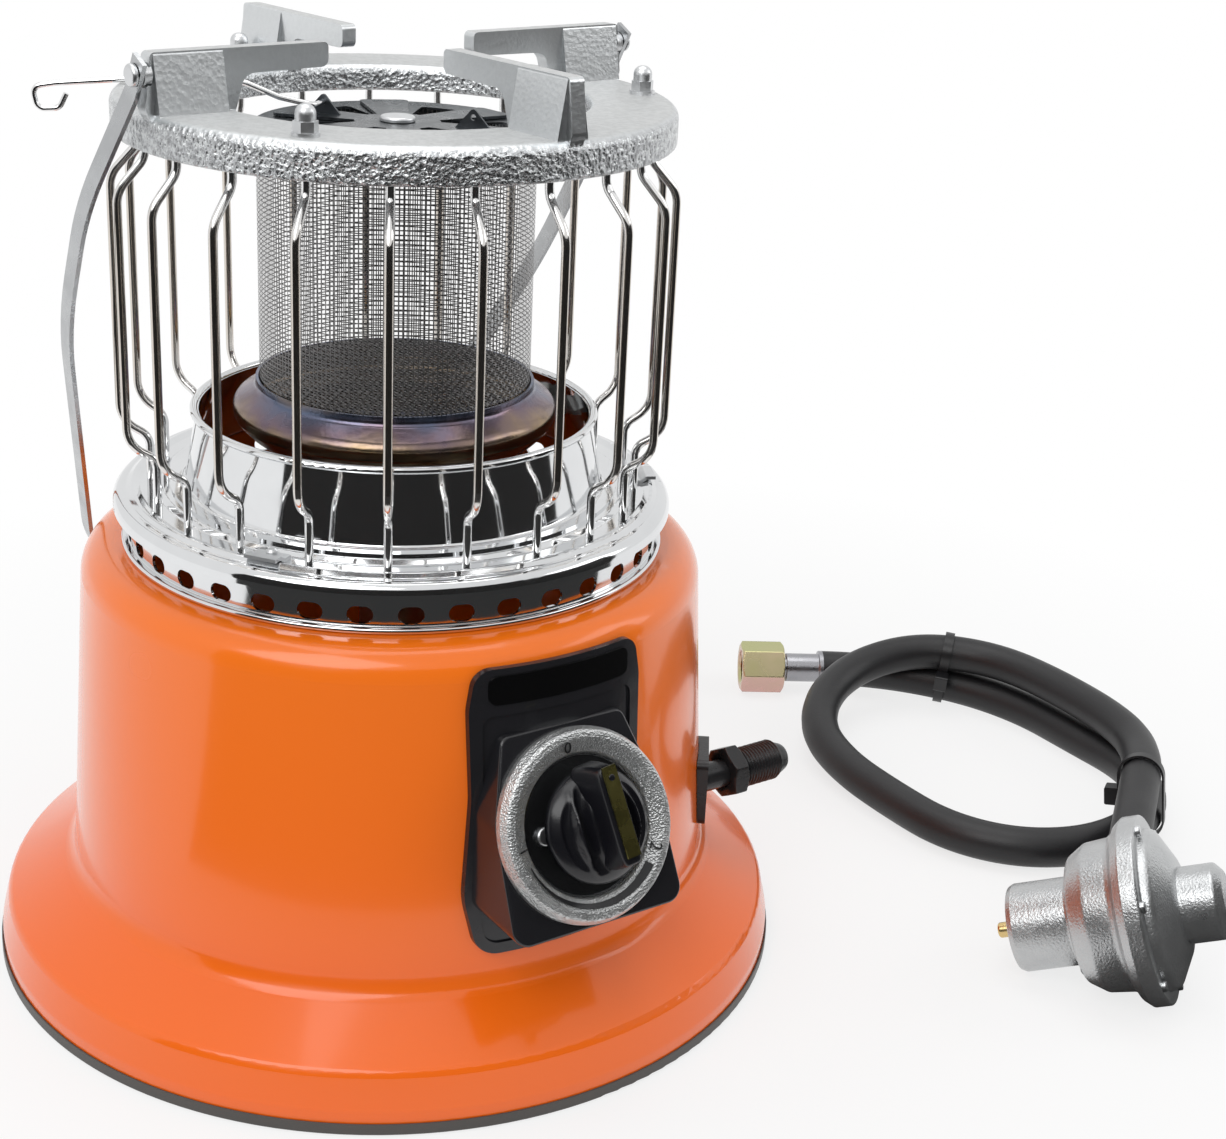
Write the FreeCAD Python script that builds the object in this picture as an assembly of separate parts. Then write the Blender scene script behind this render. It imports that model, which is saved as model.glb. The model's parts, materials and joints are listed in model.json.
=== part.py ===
import FreeCAD, Part
import math
import os

# Portable propane heater with its hose and regulator. Millimetres.
# The origin is the middle of the underside, on the floor. +Z is up, the control
# panel faces -Y and the gas inlet points along +X.

V = FreeCAD.Vector
UP = V(0, 0, 1)
os.makedirs("parts", exist_ok=True)

# Driving sizes of the housing
foot_r = 149.3            # flared foot of the shell
shell_wall = 1.2
shell_rim_z = 2.0         # the rim stands this far up inside its edge trim
foot_edge_z = 9.0         # top of the upright edge of the foot
foot_step_z = 22.0        # where the foot's slope starts
shell_waist_r = 121.0     # where the foot ends and the tapered drum starts
shell_waist_z = 38.0
shell_top_r = 113.3
shell_top_z = 160.5
shell_mouth_r = 97.2      # opening in the top of the drum
trim_leg = 0.6
trim_h = 4.5
trim_play = 0.1
plate_t = 1.2
plate_z = 4.8
lug_t = 2.0
lug_reach = 20.0
base_screw_in = 14.3      # base screws stand this far in from the foot's edge
base_screw_r = foot_r - base_screw_in
base_screw_shank = 1.9
base_vent_in = 61.3
window_half = 22.0        # square window in the drum behind the panel

# Driving sizes of the collar, tray and reflector
collar_r = 96.7
collar_t = 1.0
collar_slots = 36
collar_slot_w = 8.8
collar_slot_h = 6.0
collar_slot_rise = 6.1    # middle of the slots above the drum's top
collar_h = 18.5           # drum's top to the underside of the tray's track
collar_tail = 12.0        # the collar reaches this far down into the drum
tray_t = 1.0
tray_inner_r = 76.5
tray_step = 1.5           # the inner flat stands this far above the track
tray_track_z = shell_top_z + collar_h + tray_t
tray_floor_z = tray_track_z + tray_step
tray_rim_r = 101.6
tray_rim_drop = 7.5
tray_roll = 4.0           # round of the tray's rolled edge
cone_t = 0.8
cone_rim_r = 71.2
cone_h = 27.0             # reflector's rim above the tray's inner flat
cone_rim_z = tray_floor_z + cone_h
cone_lip = 1.4

# Driving sizes of the burner
tube_r = 13.0             # mixing tube
tube_t = 1.0
tube_foot_z = 68.0
tube_rise = 14.5          # mixing tube's top above the tray's inner flat
tube_top_z = tray_floor_z + tube_rise
slip = 0.05               # a close push fit, per side
bell_t = 1.0
bell_belly_r = 58.5
mesh_r = 49.0
mesh_t = 0.8
mesh_rise = 37.0          # mesh tube's foot above the tray's inner flat
mesh_h = 91.5             # mesh tube's foot to the top of its cap
mesh_foot_z = tray_floor_z + mesh_rise
cap_t = 0.8
cap_top_z = mesh_foot_z + mesh_h
cap_skirt = 7.0
damper_gap = 0.3
damper_t = 1.0
damper_r = 44.0
hub_pin_r = 4.0
rod_r = 1.0

# Driving sizes of the guard and the pan support
wire_r = 1.5
wire_count = 21
wire_start = -137.5
wire_foot_r = 88.0
wire_bow_r = 98.0
foot_bend = 6.0           # bend radii at the lower end of the wires
bow_bend = 11.0
guard_h = 133.5           # tray's track to the underside of the flat ring
guard_ring_z = tray_track_z + guard_h
guard_ring_t = 3.0
guard_ring_half = 3.2     # half of the flat ring's width
guard_ring_in = 8.8       # the flat ring's middle lies this far inside the cast ring's edge
ring_outer_r = 97.0
ring_inner_r = 66.0
ring_t = 4.0
ring_skirt = 8.5
support_h = 19.5          # height of the pan rests above the ring
support_t = 5.6
support_foot = 6.5        # half width of a rest's drafted foot
support_turn = 6.0
support_tip_r = 30.0
stud_r = 1.95
washer_r = 4.5
washer_t = 1.2
nut_flats = 7.0

# Driving sizes of the bail handle
pivot_rise = 12.5         # pivots above the cast ring's top
pivot_r = 2.0
bail_w = 7.0
bail_t = 1.6
bail_stand = 2.4          # middle of the strip outside the cast ring at the pivot
bail_len = 255.0          # pivot to grip along the strip's plane
bail_back = 28.3          # degrees the handle hangs back from plumb

# Driving sizes of the controls
panel_gap = 0.25
panel_t = 2.2
face_tilt = 25.0
face_y = -131.5
face_z = 98.5
face_t = 2.5
plinth_round = 1.2
field_depth = 0.9         # the panel's field lies this far below its rim
dial_r = 33.3
dial_floor = 1.2
dial_screw_r = 3.2
dial_screw_u = 16.5
knob_r = 18.0
knob_lift = 7.5
fin_w = 8.0
fin_top = 27.0
strip_w = 5.2
strip_t = 0.8
strip_len = 31.0
strip_from = -10.6
knob_rest = 6.0
spindle_r = 4.0
plug_bore_r = 8.0
plug_play = 0.1
plug_end_gap = 0.2
plug_top = 34.0
plug_len = 24.0
neck_r = 10.0
valve_end = 78.0

# Driving sizes of the gas inlet
inlet_y = -72.0
inlet_z = 64.0
pipe_r = 5.5
pipe_start = 15.0
pipe_wall = 2.3
pipe_play = 0.8           # round the pipe where it leaves the drum
hex_flats = 18.5
hex_stand = 11.3          # fitting's hexagon beyond the drum's wall
hex_len = 6.5
thread_r = 7.94           # 5/8 inch male thread
thread_len = 18.5
flare_len = 4.5
inlet_bore = 2.8

# Driving sizes of the hose, its fittings and the regulator
hose_r = 8.5
ferrule_r = 10.2
nut_af = 22.0
nut_len = 21.0
nut_z = nut_af / 2 + 0.05
nut_wall = 6.0            # the nut's closed end, round the stem
nut_thread_len = 8.6      # free thread in front of the stem's nose
nut_relief = 0.6          # the bore behind the thread is wider by this
stem_neck_r = 5.6
tie_w = 4.4
tie_t = 0.9
tie_play = 0.6
reg_r = 36.0
reg_flange = 7.0
reg_cover_r = 33.0
socket_r = 17.0
socket_bore_r = 12.7
socket_depth = 20.0
socket_at = -51.0         # socket's mouth along the regulator's axis
socket_floor = socket_at + socket_depth
outlet_r = 10.5
outlet_len = 36.6         # past the housing's rim, so the cuff clears it


def save(name, shapes):
    """Write one node: a single solid, or a group of separate solids."""
    shape = shapes[0] if len(shapes) == 1 else Part.makeCompound(shapes)
    shape.exportStep("parts/" + name + ".step")
    print(name, len(shape.Solids), "solids", round(shape.Volume, 1), "mm3", shape.isValid())


def polar(radius, angle, z=0.0):
    turn = math.radians(angle)
    return V(radius * math.cos(turn), radius * math.sin(turn), z)


def path_edges(points, closed=False):
    """Straight runs joined by tangent arcs; each point is (vector, corner radius)."""
    count = len(points)
    corners = []
    for i in range(count):
        here, radius = points[i]
        if radius == 0 or (not closed and i in (0, count - 1)):
            corners.append((here, None, here))
            continue
        back = (points[i - 1][0] - here).normalize()
        ahead = (points[(i + 1) % count][0] - here).normalize()
        half = back.getAngle(ahead) / 2
        reach = radius / math.tan(half)
        middle = (back + ahead).normalize()
        crown = here + middle * (radius / math.sin(half) - radius)
        corners.append((here + back * reach, crown, here + ahead * reach))
    edges = []
    for i in range(count):
        start, crown, end = corners[i]
        if crown is not None:
            edges.append(Part.Arc(start, crown, end).toShape())
        if i < count - 1 or closed:
            following = corners[(i + 1) % count][0]
            if end.distanceToPoint(following) > 1e-6:
                edges.append(Part.LineSegment(end, following).toShape())
    return edges


def flat_face(outline, origin, across, along):
    """Face from a closed outline of (u, v, fillet) in a plane."""
    points = [(origin + across * u + along * v, fillet) for u, v, fillet in outline]
    return Part.Face(Part.Wire(path_edges(points, closed=True)))


def slab(outline, origin, across, along, depth):
    """Flat outline given a thickness, centred on its plane."""
    normal = across.cross(along).normalize()
    face = flat_face(outline, origin - normal * (depth / 2), across, along)
    return face.extrude(normal * depth)


def lathe(outline):
    """Closed outline of (r, z, fillet) turned about Z."""
    face = flat_face(outline, V(0, 0, 0), V(1, 0, 0), UP)
    return face.revolve(V(0, 0, 0), UP, 360)


def offset_path(path, wall):
    """Closed outline between an open path and its copy set off to the left."""
    steps = []
    for i in range(len(path) - 1):
        du = path[i + 1][0] - path[i][0]
        dv = path[i + 1][1] - path[i][1]
        length = math.hypot(du, dv)
        steps.append((du / length, dv / length))
    copy = []
    for i, (u, v, fillet) in enumerate(path):
        before = steps[max(i - 1, 0)]
        after = steps[min(i, len(steps) - 1)]
        share = 1 + before[0] * after[0] + before[1] * after[1]
        shift_u = -(before[1] + after[1]) * wall / share
        shift_v = (before[0] + after[0]) * wall / share
        left_turn = before[0] * after[1] - before[1] * after[0] > 0
        bend = max(fillet - wall if left_turn else fillet + wall, 0) if fillet else 0
        copy.append((u + shift_u, v + shift_v, bend))
    return path + copy[::-1]


def sheet(path, wall):
    """Sheet metal pressed round Z."""
    return lathe(offset_path(path, wall))


def disc(radius, z0, z1):
    return Part.makeCylinder(radius, z1 - z0, V(0, 0, z0))


def washer(outer, inner, z0, z1):
    return disc(outer, z0, z1).cut(disc(inner, z0 - 1, z1 + 1))


def rod(start, end, radius):
    return Part.makeCylinder(radius, start.distanceToPoint(end), start, end - start)


def bar(points, radius):
    """Round bar along straight runs and tangent arcs."""
    spine = Part.Wire(path_edges(points))
    heading = points[1][0] - points[0][0]
    ring = Part.Wire(Part.Circle(points[0][0], heading, radius).toShape())
    return spine.makePipeShell([ring], True, False)


def hexagon(flats, z0, z1):
    """Hexagonal prism with two flats square to Y."""
    corner = flats / math.sqrt(3)
    outline = [(corner * math.cos(math.radians(60 * k)),
                corner * math.sin(math.radians(60 * k)), 0) for k in range(6)]
    face = flat_face(outline, V(0, 0, z0), V(1, 0, 0), V(0, 1, 0))
    return face.extrude(V(0, 0, z1 - z0))


def set_at(shape, origin, z_axis, x_axis):
    """Copy of a shape with its own Z and X turned to two directions."""
    y_axis = z_axis.cross(x_axis)
    target = FreeCAD.Placement(origin, FreeCAD.Rotation(x_axis, y_axis, z_axis, "ZXY"))
    moved = shape.copy()
    moved.Placement = target.multiply(shape.Placement)
    return moved


def turned(shape, angle):
    copy = shape.copy()
    copy.rotate(V(0, 0, 0), UP, angle)
    return copy


def around(shape, count, start=0.0):
    return [turned(shape, start + 360.0 * k / count) for k in range(count)]


def stadium(width, height, origin, across, along, depth):
    """Slot with round ends."""
    half = height / 2
    reach = width / 2
    outline = [(-reach, -half, half * 0.999), (reach, -half, half * 0.999),
               (reach, half, half * 0.999), (-reach, half, half * 0.999)]
    return slab(outline, origin, across, along, depth)


# Housing: tapered drum and flared foot in one pressing, with four lugs inside
drum_slope = (shell_waist_r - shell_top_r) / (shell_top_z - shell_waist_z)


def drum_r(z):
    """Outer radius of the drum at a height."""
    return shell_waist_r - drum_slope * (z - shell_waist_z)


def drum_solid(extra):
    """Solid frustum of the drum's outside, grown by extra."""
    low, high = shell_waist_z, shell_top_z
    return Part.makeCone(drum_r(low) + extra, drum_r(high) + extra, high - low, V(0, 0, low))


plate_r = foot_r - shell_wall - 0.3
lug_z = plate_z + plate_t
shell = sheet([(foot_r, shell_rim_z, 0), (foot_r, foot_edge_z, 6), (foot_r - 3, foot_step_z, 4),
               (shell_waist_r, shell_waist_z, 9), (shell_top_r, shell_top_z, 12),
               (shell_mouth_r, shell_top_z, 0)], shell_wall)
lug_end = foot_r - shell_wall / 2
lug = Part.makeBox(lug_reach, 14, lug_t, V(lug_end - lug_reach, -7, lug_z))
screw_line = (V(base_screw_r, 0, 0), V(base_screw_r, 0, lug_z + 3 * lug_t))
lug = lug.cut(rod(*screw_line, base_screw_shank + slip))
shell = shell.fuse(around(lug, 4, 45))
window = Part.makeBox(2 * window_half, foot_r, 2 * window_half,
                      V(-window_half, -foot_r - shell_top_r / 2, face_z - window_half))
inlet_line = (V(0, inlet_y, inlet_z), V(foot_r, inlet_y, inlet_z))
shell = shell.cut(window).cut(rod(*inlet_line, pipe_r + pipe_play))
save("body_shell", [shell.removeSplitter()])

groove_out = foot_r + trim_play
groove_in = foot_r - shell_wall - trim_play
trim_inner_r = groove_in - trim_leg
save("edge_trim", [lathe([(trim_inner_r, 0, 0.4), (groove_out + trim_leg, 0, 0.8),
                          (groove_out + trim_leg, trim_h, 0.25), (groove_out, trim_h, 0.25),
                          (groove_out, shell_rim_z, 0), (groove_in, shell_rim_z, 0),
                          (groove_in, trim_h, 0.25), (trim_inner_r, trim_h, 0.25)])])

bottom = disc(plate_r, plate_z, plate_z + plate_t)
vent = stadium(34, 7, V(foot_r - base_vent_in, 0, plate_z), V(1, 0, 0), V(0, 1, 0), 8)
hole = rod(*screw_line, base_screw_shank + 0.4)
bottom = bottom.cut(around(vent, 12, 15)).cut(around(hole, 4, 45))
save("bottom_plate", [bottom])

base_screw = lathe([(0, plate_z - 1.8, 0), (3.2, plate_z - 1.8, 0.6), (3.8, plate_z, 0),
                    (base_screw_shank, plate_z, 0), (base_screw_shank, plate_z + 9, 0.5),
                    (0, plate_z + 9, 0)])
base_screw.translate(V(base_screw_r, 0, 0))
save("base_screws", around(base_screw, 4, 45))

# Vent collar between the drum and the tray, with its ring of slots
tray_track_under = tray_track_z - tray_t
collar_in = collar_r - collar_t
collar_foot = shell_top_z - collar_tail
collar = lathe([(collar_in, collar_foot, 0), (collar_r, collar_foot, 0),
                (collar_r, shell_top_z, 0), (collar_r + 2.5, shell_top_z, 1.0),
                (collar_r + 2.5, shell_top_z + 2.2, 1.0), (collar_r, shell_top_z + 2.2, 0.3),
                (collar_r, tray_track_under, 2.5), (collar_r - 7, tray_track_under, 0),
                (collar_r - 7, tray_track_under - collar_t, 0),
                (collar_in, tray_track_under - collar_t, 1.5)])
slot = stadium(collar_slot_w, collar_slot_h, V(collar_r, 0, shell_top_z + collar_slot_rise),
               V(0, 1, 0), UP, 8)
collar = collar.cut(around(slot, collar_slots, 4.4))
save("vent_collar", [collar])

# Reflector tray that carries the guard, and the reflector standing on it
tray = sheet([(tray_inner_r, tray_floor_z, 0), (wire_foot_r - 4, tray_floor_z, 1.2),
              (wire_foot_r - 2, tray_track_z, 1.2), (wire_foot_r + 3.5, tray_track_z, 1.5),
              (wire_foot_r + 6.5, tray_track_z + 1.3, 1.5),
              (wire_foot_r + 9, tray_track_z - 0.3, 1.5),
              (tray_rim_r, tray_track_z - 0.3, tray_roll),
              (tray_rim_r, tray_floor_z - tray_rim_drop, 0)], -tray_t)
save("reflector_tray", [tray])

cone_foot_z = tray_floor_z + cone_t
cone = sheet([(tray_inner_r + 5, cone_foot_z, 0), (tray_inner_r - 0.5, cone_foot_z, 1.5),
              (cone_rim_r, cone_rim_z, 0)], cone_t)
cone = cone.fuse(Part.makeTorus(cone_rim_r + 1.0, cone_lip, V(0, 0, cone_rim_z)))
save("reflector_cone", [cone.removeSplitter()])

clip_path = [(wire_foot_r - 1.4, tray_track_z, 0), (wire_foot_r + 3.2, tray_track_z, 0.5),
             (wire_foot_r + 5.4, tray_track_z + 1.5, 0.5),
             (wire_foot_r + 8.6, tray_track_z + 1.5, 0)]
clip_t = 1.2
clip = slab(offset_path(clip_path, clip_t), V(0, 0, 0), V(1, 0, 0), UP, 12)
clip_start = -146.1
save("tray_clips", around(clip, 3, clip_start))
clip_top = tray_track_z + clip_t
clip_screw_r = 2.0
clip_screw = lathe([(0, clip_top, 0), (clip_screw_r, clip_top, 0),
                    (clip_screw_r, clip_top + 1.0, 0.5), (1.2, clip_top + 1.8, 0.4),
                    (0, clip_top + 1.8, 0)])
clip_screw.translate(V(wire_foot_r + 0.7, 0, 0))
save("clip_screws", around(clip_screw, 3, clip_start))

# Burner: bracket, mixing tube, jet, bell, mesh tube, floor and cap
neck_foot_z = tube_top_z - 10
bracket_t = 2.0
hub_ring = washer(tube_r + 9, tube_r + slip, neck_foot_z - bracket_t, neck_foot_z)
tray_under = tray_floor_z - tray_t
arm_path = [(tube_r + 5, neck_foot_z - bracket_t, 0),
            (tray_inner_r - 16.5, neck_foot_z - bracket_t, 2.5),
            (tray_inner_r - 7.5, tray_under - bracket_t, 2.5),
            (tray_inner_r + 6.9, tray_under - bracket_t, 0)]
arm = slab(offset_path(arm_path, bracket_t), V(0, 0, 0), V(1, 0, 0), UP, 14)
bracket = hub_ring.fuse(around(arm, 3, 30))
save("burner_bracket", [bracket.removeSplitter()])

mixing = washer(tube_r, tube_r - tube_t, tube_foot_z, tube_top_z)
air = Part.makeBox(40, 10, 22, V(-20, -5, tube_foot_z + 16))
save("mixing_tube", [mixing.cut(air)])

jet_foot = tube_foot_z - 6
jet = lathe([(0, jet_foot, 0), (8, jet_foot, 0), (8, tube_foot_z, 0),
             (tube_r - tube_t - slip, tube_foot_z, 0),
             (tube_r - tube_t - slip, tube_foot_z + 6, 0.8),
             (4, tube_foot_z + 6, 0), (2.5, tube_foot_z + 11, 0.5), (0, tube_foot_z + 11, 0)])
save("jet_holder", [jet])

bell_mouth = mesh_r + slip + bell_t
neck_out = tube_r + slip + bell_t
bell = sheet([(bell_mouth, mesh_foot_z + 1.4, 0), (bell_mouth, mesh_foot_z - 1.6, 2.4),
              (bell_belly_r, mesh_foot_z - 7, 4.5), (bell_belly_r - 0.5, mesh_foot_z - 12.5, 4),
              (bell_belly_r - 6, mesh_foot_z - 18.5, 5), (neck_out + 6, tube_top_z, 3),
              (neck_out, tube_top_z - 2, 1.0),
              (neck_out, neck_foot_z, 0)], -bell_t)
save("burner_bell", [bell])

cap_under = cap_top_z - cap_t
save("burner_mesh", [washer(mesh_r, mesh_r - mesh_t, mesh_foot_z, cap_under)])
save("burner_floor", [disc(mesh_r - mesh_t - slip, mesh_foot_z + 0.4, mesh_foot_z + 1.4)])

cap_r = mesh_r + slip + cap_t
cap = lathe([(hub_pin_r, cap_under, 0), (cap_r - cap_t, cap_under, 0),
             (cap_r - cap_t, cap_top_z - cap_skirt, 0), (cap_r, cap_top_z - cap_skirt, 0),
             (cap_r, cap_top_z, cap_t), (hub_pin_r, cap_top_z, 0)])
blade_turn = 128.0
cap_slot = slab([(17, -3, 1.5), (39, -7, 2), (39, 7, 2), (17, 3, 1.5)],
                V(0, 0, cap_top_z), V(1, 0, 0), V(0, 1, 0), 8)
cap = cap.cut(around(cap_slot, 6, blade_turn + 30))
save("burner_cap", [cap])

# Damper: bladed disc on a rivet, turned by a hooked rod
disc_z = cap_top_z + damper_gap
disc_top = disc_z + damper_t
blade = slab([(8, -5, 0), (damper_r, -9, 2.5), (damper_r, 9, 2.5), (8, 5, 0)],
             V(0, 0, disc_z + damper_t / 2), V(1, 0, 0), V(0, 1, 0), damper_t)
tab_r = 28.0
tab_hole_z = disc_z + 4.9
tab = slab([(tab_r - 7, disc_top - 0.5, 0), (tab_r + 7, disc_top - 0.5, 0),
            (tab_r, disc_z + 8.2, 1.2)], V(0, 0, 0), V(1, 0, 0), UP, damper_t)
tab = tab.cut(rod(V(tab_r, -5, tab_hole_z), V(tab_r, 5, tab_hole_z), rod_r + slip))
damper = disc(15, disc_z, disc_top).fuse(around(blade, 6, blade_turn))
damper = damper.fuse(around(tab, 2, blade_turn))
damper = damper.cut(disc(hub_pin_r + slip, disc_z - 1, disc_top + 1))
save("damper_disc", [damper.removeSplitter()])

head_z = disc_top + damper_gap
hub = lathe([(0, cap_under - 1.5, 0), (6, cap_under - 1.5, 0.5), (6, cap_under, 0),
             (hub_pin_r, cap_under, 0), (hub_pin_r, head_z, 0), (6.2, head_z, 0),
             (6.2, head_z + 1.6, 1.0), (0, head_z + 1.6, 0)])
save("damper_rivet", [hub])

ring_top = guard_ring_z + guard_ring_t + ring_t
rod_turn = 149.0
inner_end = polar(tab_r, blade_turn, tab_hole_z)
across_tab = polar(1, blade_turn + 90)
rod_points = [(inner_end - across_tab * 3, 0), (inner_end + across_tab * 8, 3.5),
              (polar(ring_inner_r - 25.5, rod_turn, ring_top - 2.6), 6),
              (polar(ring_inner_r - 13.5, rod_turn, ring_top + 2.1), 8),
              (polar(ring_outer_r - 4.5, rod_turn, ring_top + 1.6), 40)]
hook = [(19, -0.6, 6), (27, -2.0, 3), (25.5, -9.5, 3), (18, -9.0, 3), (15.5, -4.0, 0)]
for beyond, drop, bend in hook:
    rod_points.append((polar(ring_outer_r + beyond, rod_turn, ring_top + drop), bend))
save("damper_rod", [bar(rod_points, rod_r)])

# Wire guard: three banks of seven bowed wires welded to a flat ring
guard_r = ring_outer_r - guard_ring_in
wire_path = [(wire_foot_r, tray_track_z, 0), (wire_foot_r, tray_track_z + 17, foot_bend),
             (wire_bow_r, tray_track_z + 23, bow_bend), (wire_bow_r, guard_ring_z - 22.5, 11),
             (guard_r, guard_ring_z - 11.5, 7), (guard_r, guard_ring_z, 0)]
wire = bar([(V(r, 0, z), bend) for r, z, bend in wire_path], wire_r)
step = 360.0 / wire_count
bank = wire_count // 3
for index, name in enumerate(["guard_wires_left", "guard_wires_right", "guard_wires_rear"]):
    first = wire_start + step * (bank * index + 1 - bank // 2)
    save(name, [turned(wire, first + step * k) for k in range(bank)])

stud_hole = rod(V(guard_r, 0, guard_ring_z - 1), V(guard_r, 0, ring_top + 2), stud_r + 0.2)
stud_holes = around(stud_hole, 3, wire_start)
ring_under = guard_ring_z + guard_ring_t
guard_ring = washer(guard_r + guard_ring_half, guard_r - guard_ring_half, guard_ring_z,
                    ring_under)
save("guard_top_ring", [guard_ring.cut(stud_holes)])

# Cast pan support: skirted ring with four pan rests
skirt_z = ring_top - ring_skirt - ring_t
pan_ring = lathe([(ring_outer_r - 4, skirt_z, 0), (ring_outer_r, skirt_z, 1.2),
                  (ring_outer_r, ring_top, 3.5), (ring_inner_r, ring_top, 2.5),
                  (ring_inner_r, skirt_z + 3, 1.0), (ring_inner_r + 3, skirt_z + 3, 1.0),
                  (ring_inner_r + 3, ring_under, 1.5), (ring_outer_r - 4, ring_under, 1.5)])
rest_top = ring_top + support_h
rest = slab([(ring_outer_r - 1.0, ring_under + 0.5, 0), (ring_outer_r + 1.0, ring_top + 2, 3),
             (ring_outer_r - 1.1, rest_top, 1.8), (support_tip_r, rest_top, 1.8),
             (support_tip_r, rest_top - 8, 2.5), (ring_inner_r - 4, rest_top - 8.5, 5),
             (ring_inner_r + 0.5, ring_under + 0.5, 0)],
            V(0, 0, 0), V(1, 0, 0), UP, support_t)
block_in = ring_inner_r + 4
block = flat_face([(-support_foot, ring_top - 1.5, 0), (support_foot, ring_top - 1.5, 0),
                   (support_t / 2, rest_top, 1.2), (-support_t / 2, rest_top, 1.2)],
                  V(block_in, 0, 0), V(0, 1, 0), UP).extrude(V(ring_outer_r - 2 - block_in, 0, 0))
taper = slab([(block_in - 9, -support_t / 2, 0), (block_in + 0.2, -support_foot, 0),
              (ring_outer_r - 1, -support_foot, 0), (ring_outer_r - 1, support_foot, 0),
              (block_in + 0.2, support_foot, 0), (block_in - 9, support_t / 2, 0)],
             V(0, 0, rest_top - 12), V(1, 0, 0), V(0, 1, 0), 60)
profile = slab([(ring_inner_r + 0.5, ring_top - 1.5, 0), (ring_outer_r - 0.5, ring_top - 1.5, 0),
                (ring_outer_r - 1.1, rest_top, 1.8), (ring_inner_r - 3, rest_top, 0)],
               V(0, 0, 0), V(1, 0, 0), UP, 4 * support_foot)
block = block.common(profile).common(taper)
pan_ring = pan_ring.fuse(around(rest, 4, support_turn)).fuse(around(block, 4, support_turn))
pivot_z = ring_top + pivot_rise
seat = ring_outer_r - 1.4
spot_r = pivot_r + 2.2
boss_flat = rod(V(seat, 0, pivot_z), V(seat + 15, 0, pivot_z), spot_r)
pin_hole = rod(V(seat - 9, 0, pivot_z), V(seat + 15, 0, pivot_z), pivot_r + slip)
pan_ring = pan_ring.cut(around(boss_flat, 2, support_turn)).cut(around(pin_hole, 2, support_turn))
nut_pocket = disc(washer_r + 0.4, ring_top, rest_top)
nut_pocket.translate(V(guard_r, 0, 0))
pan_ring = pan_ring.cut(stud_holes).cut(around(nut_pocket, 3, wire_start))
save("pan_support", [pan_ring.removeSplitter()])

stud = rod(V(guard_r, 0, guard_ring_z), V(guard_r, 0, ring_top + 7), stud_r)
save("ring_studs", around(stud, 3, wire_start))
nut_top = ring_top + washer_t
acorn = washer(washer_r, stud_r + slip, ring_top, nut_top)
acorn_hex = hexagon(nut_flats, nut_top, nut_top + 3.4)
acorn_dome = lathe([(0, nut_top + 3.4, 0), (3.3, nut_top + 3.4, 0), (3.3, nut_top + 8.6, 3.0),
                    (0, nut_top + 8.6, 0)])
acorn = acorn.fuse(acorn_hex).fuse(acorn_dome).cut(disc(stud_r + slip, ring_top - 1, ring_top + 7))
acorn.translate(V(guard_r, 0, 0))
save("acorn_nuts", around(acorn, 3, wire_start))

# Bail handle: one bent strip hung on two shouldered rivets
sideways = polar(1, support_turn)
backward = polar(1, support_turn + 90)
lean = math.radians(bail_back)
downward = backward * math.sin(lean) - UP * math.cos(lean)
pivot = V(0, 0, pivot_z)
bail_side = ring_outer_r + bail_stand
leg = [(bail_side, -6, 0), (bail_side, 7, 20), (bail_side + 8.1, 52, 120),
       (bail_side + 4.6, 104, 200), (bail_side - 37.4, bail_len, 60)]
path = leg + [(-s, t, bend) for s, t, bend in leg[::-1]]
half = bail_t / 2
inner = offset_path(path, half)[len(path):]
outer = offset_path(path, -half)[len(path):]
bail = slab(inner[::-1] + outer, pivot, sideways, downward, bail_w)
ear_reach = sideways * (bail_side + 10)
ear_hole = rod(pivot - ear_reach, pivot + ear_reach, pivot_r + slip)
save("bail_handle", [bail.cut(ear_hole)])
shoulder = bail_side - half - 0.3
flange = bail_side + half + 0.3
rivet = lathe([(0, seat - 8.5, 0), (pivot_r, seat - 8.5, 0.4), (pivot_r, seat, 0),
               (pivot_r + 1.7, seat, 0), (pivot_r + 1.7, shoulder, 0), (pivot_r, shoulder, 0),
               (pivot_r, flange, 0), (pivot_r + 1.7, flange, 0),
               (pivot_r + 1.7, flange + 1.8, 1.2), (0, flange + 1.8, 0)])
save("bail_rivets", [set_at(rivet, pivot, sideways, UP), set_at(rivet, pivot, sideways * -1, UP)])

# Control panel: plate curved round the drum with a tilted plinth for the dial
tilt = math.radians(face_tilt)
outward = V(0, -math.cos(tilt), math.sin(tilt))
face_up = V(0, math.sin(tilt), math.cos(tilt))
right = V(1, 0, 0)
centre = V(0, face_y, face_z)
behind = V(0, face_y + 41.5, face_z)
forward = V(0, -70, 0)
panel_shape = [(-31.5, 55.5, 7), (31.5, 55.5, 7), (34, 41.5, 20), (33.5, 9.5, 60),
               (36.5, -26.5, 30), (32, -48.5, 9), (-32, -48.5, 9), (-36.5, -26.5, 30),
               (-33.5, 9.5, 60), (-34, 41.5, 20)]
outline = flat_face(panel_shape, behind, right, UP).extrude(forward)
plate = outline.common(drum_solid(panel_gap + panel_t)).cut(drum_solid(panel_gap))
field_shape = [(-29.5, 39, 4), (29.5, 39, 4), (29.5, 9.5, 40), (32.2, -25.5, 24),
               (29.5, -44.5, 6), (-29.5, -44.5, 6), (-32.2, -25.5, 24), (-29.5, 9.5, 40)]
field = flat_face(field_shape, behind, right, UP).extrude(forward)
plate = plate.cut(field.cut(drum_solid(panel_gap + panel_t - field_depth)))
plinth_shape = [(-34, -35, 6), (34, -35, 6), (32.5, 6, 12), (24, 35, 4), (-24, 35, 4),
                (-32.5, 6, 12)]
plinth = flat_face(plinth_shape, centre, right, face_up).extrude(V(0, 60, 0))
front = [edge for edge in plinth.Edges
         if all(abs((v.Point - centre).dot(outward)) < 1e-6 for v in edge.Vertexes)]
plinth = plinth.makeFillet(plinth_round, front).cut(drum_solid(panel_gap))
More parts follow.
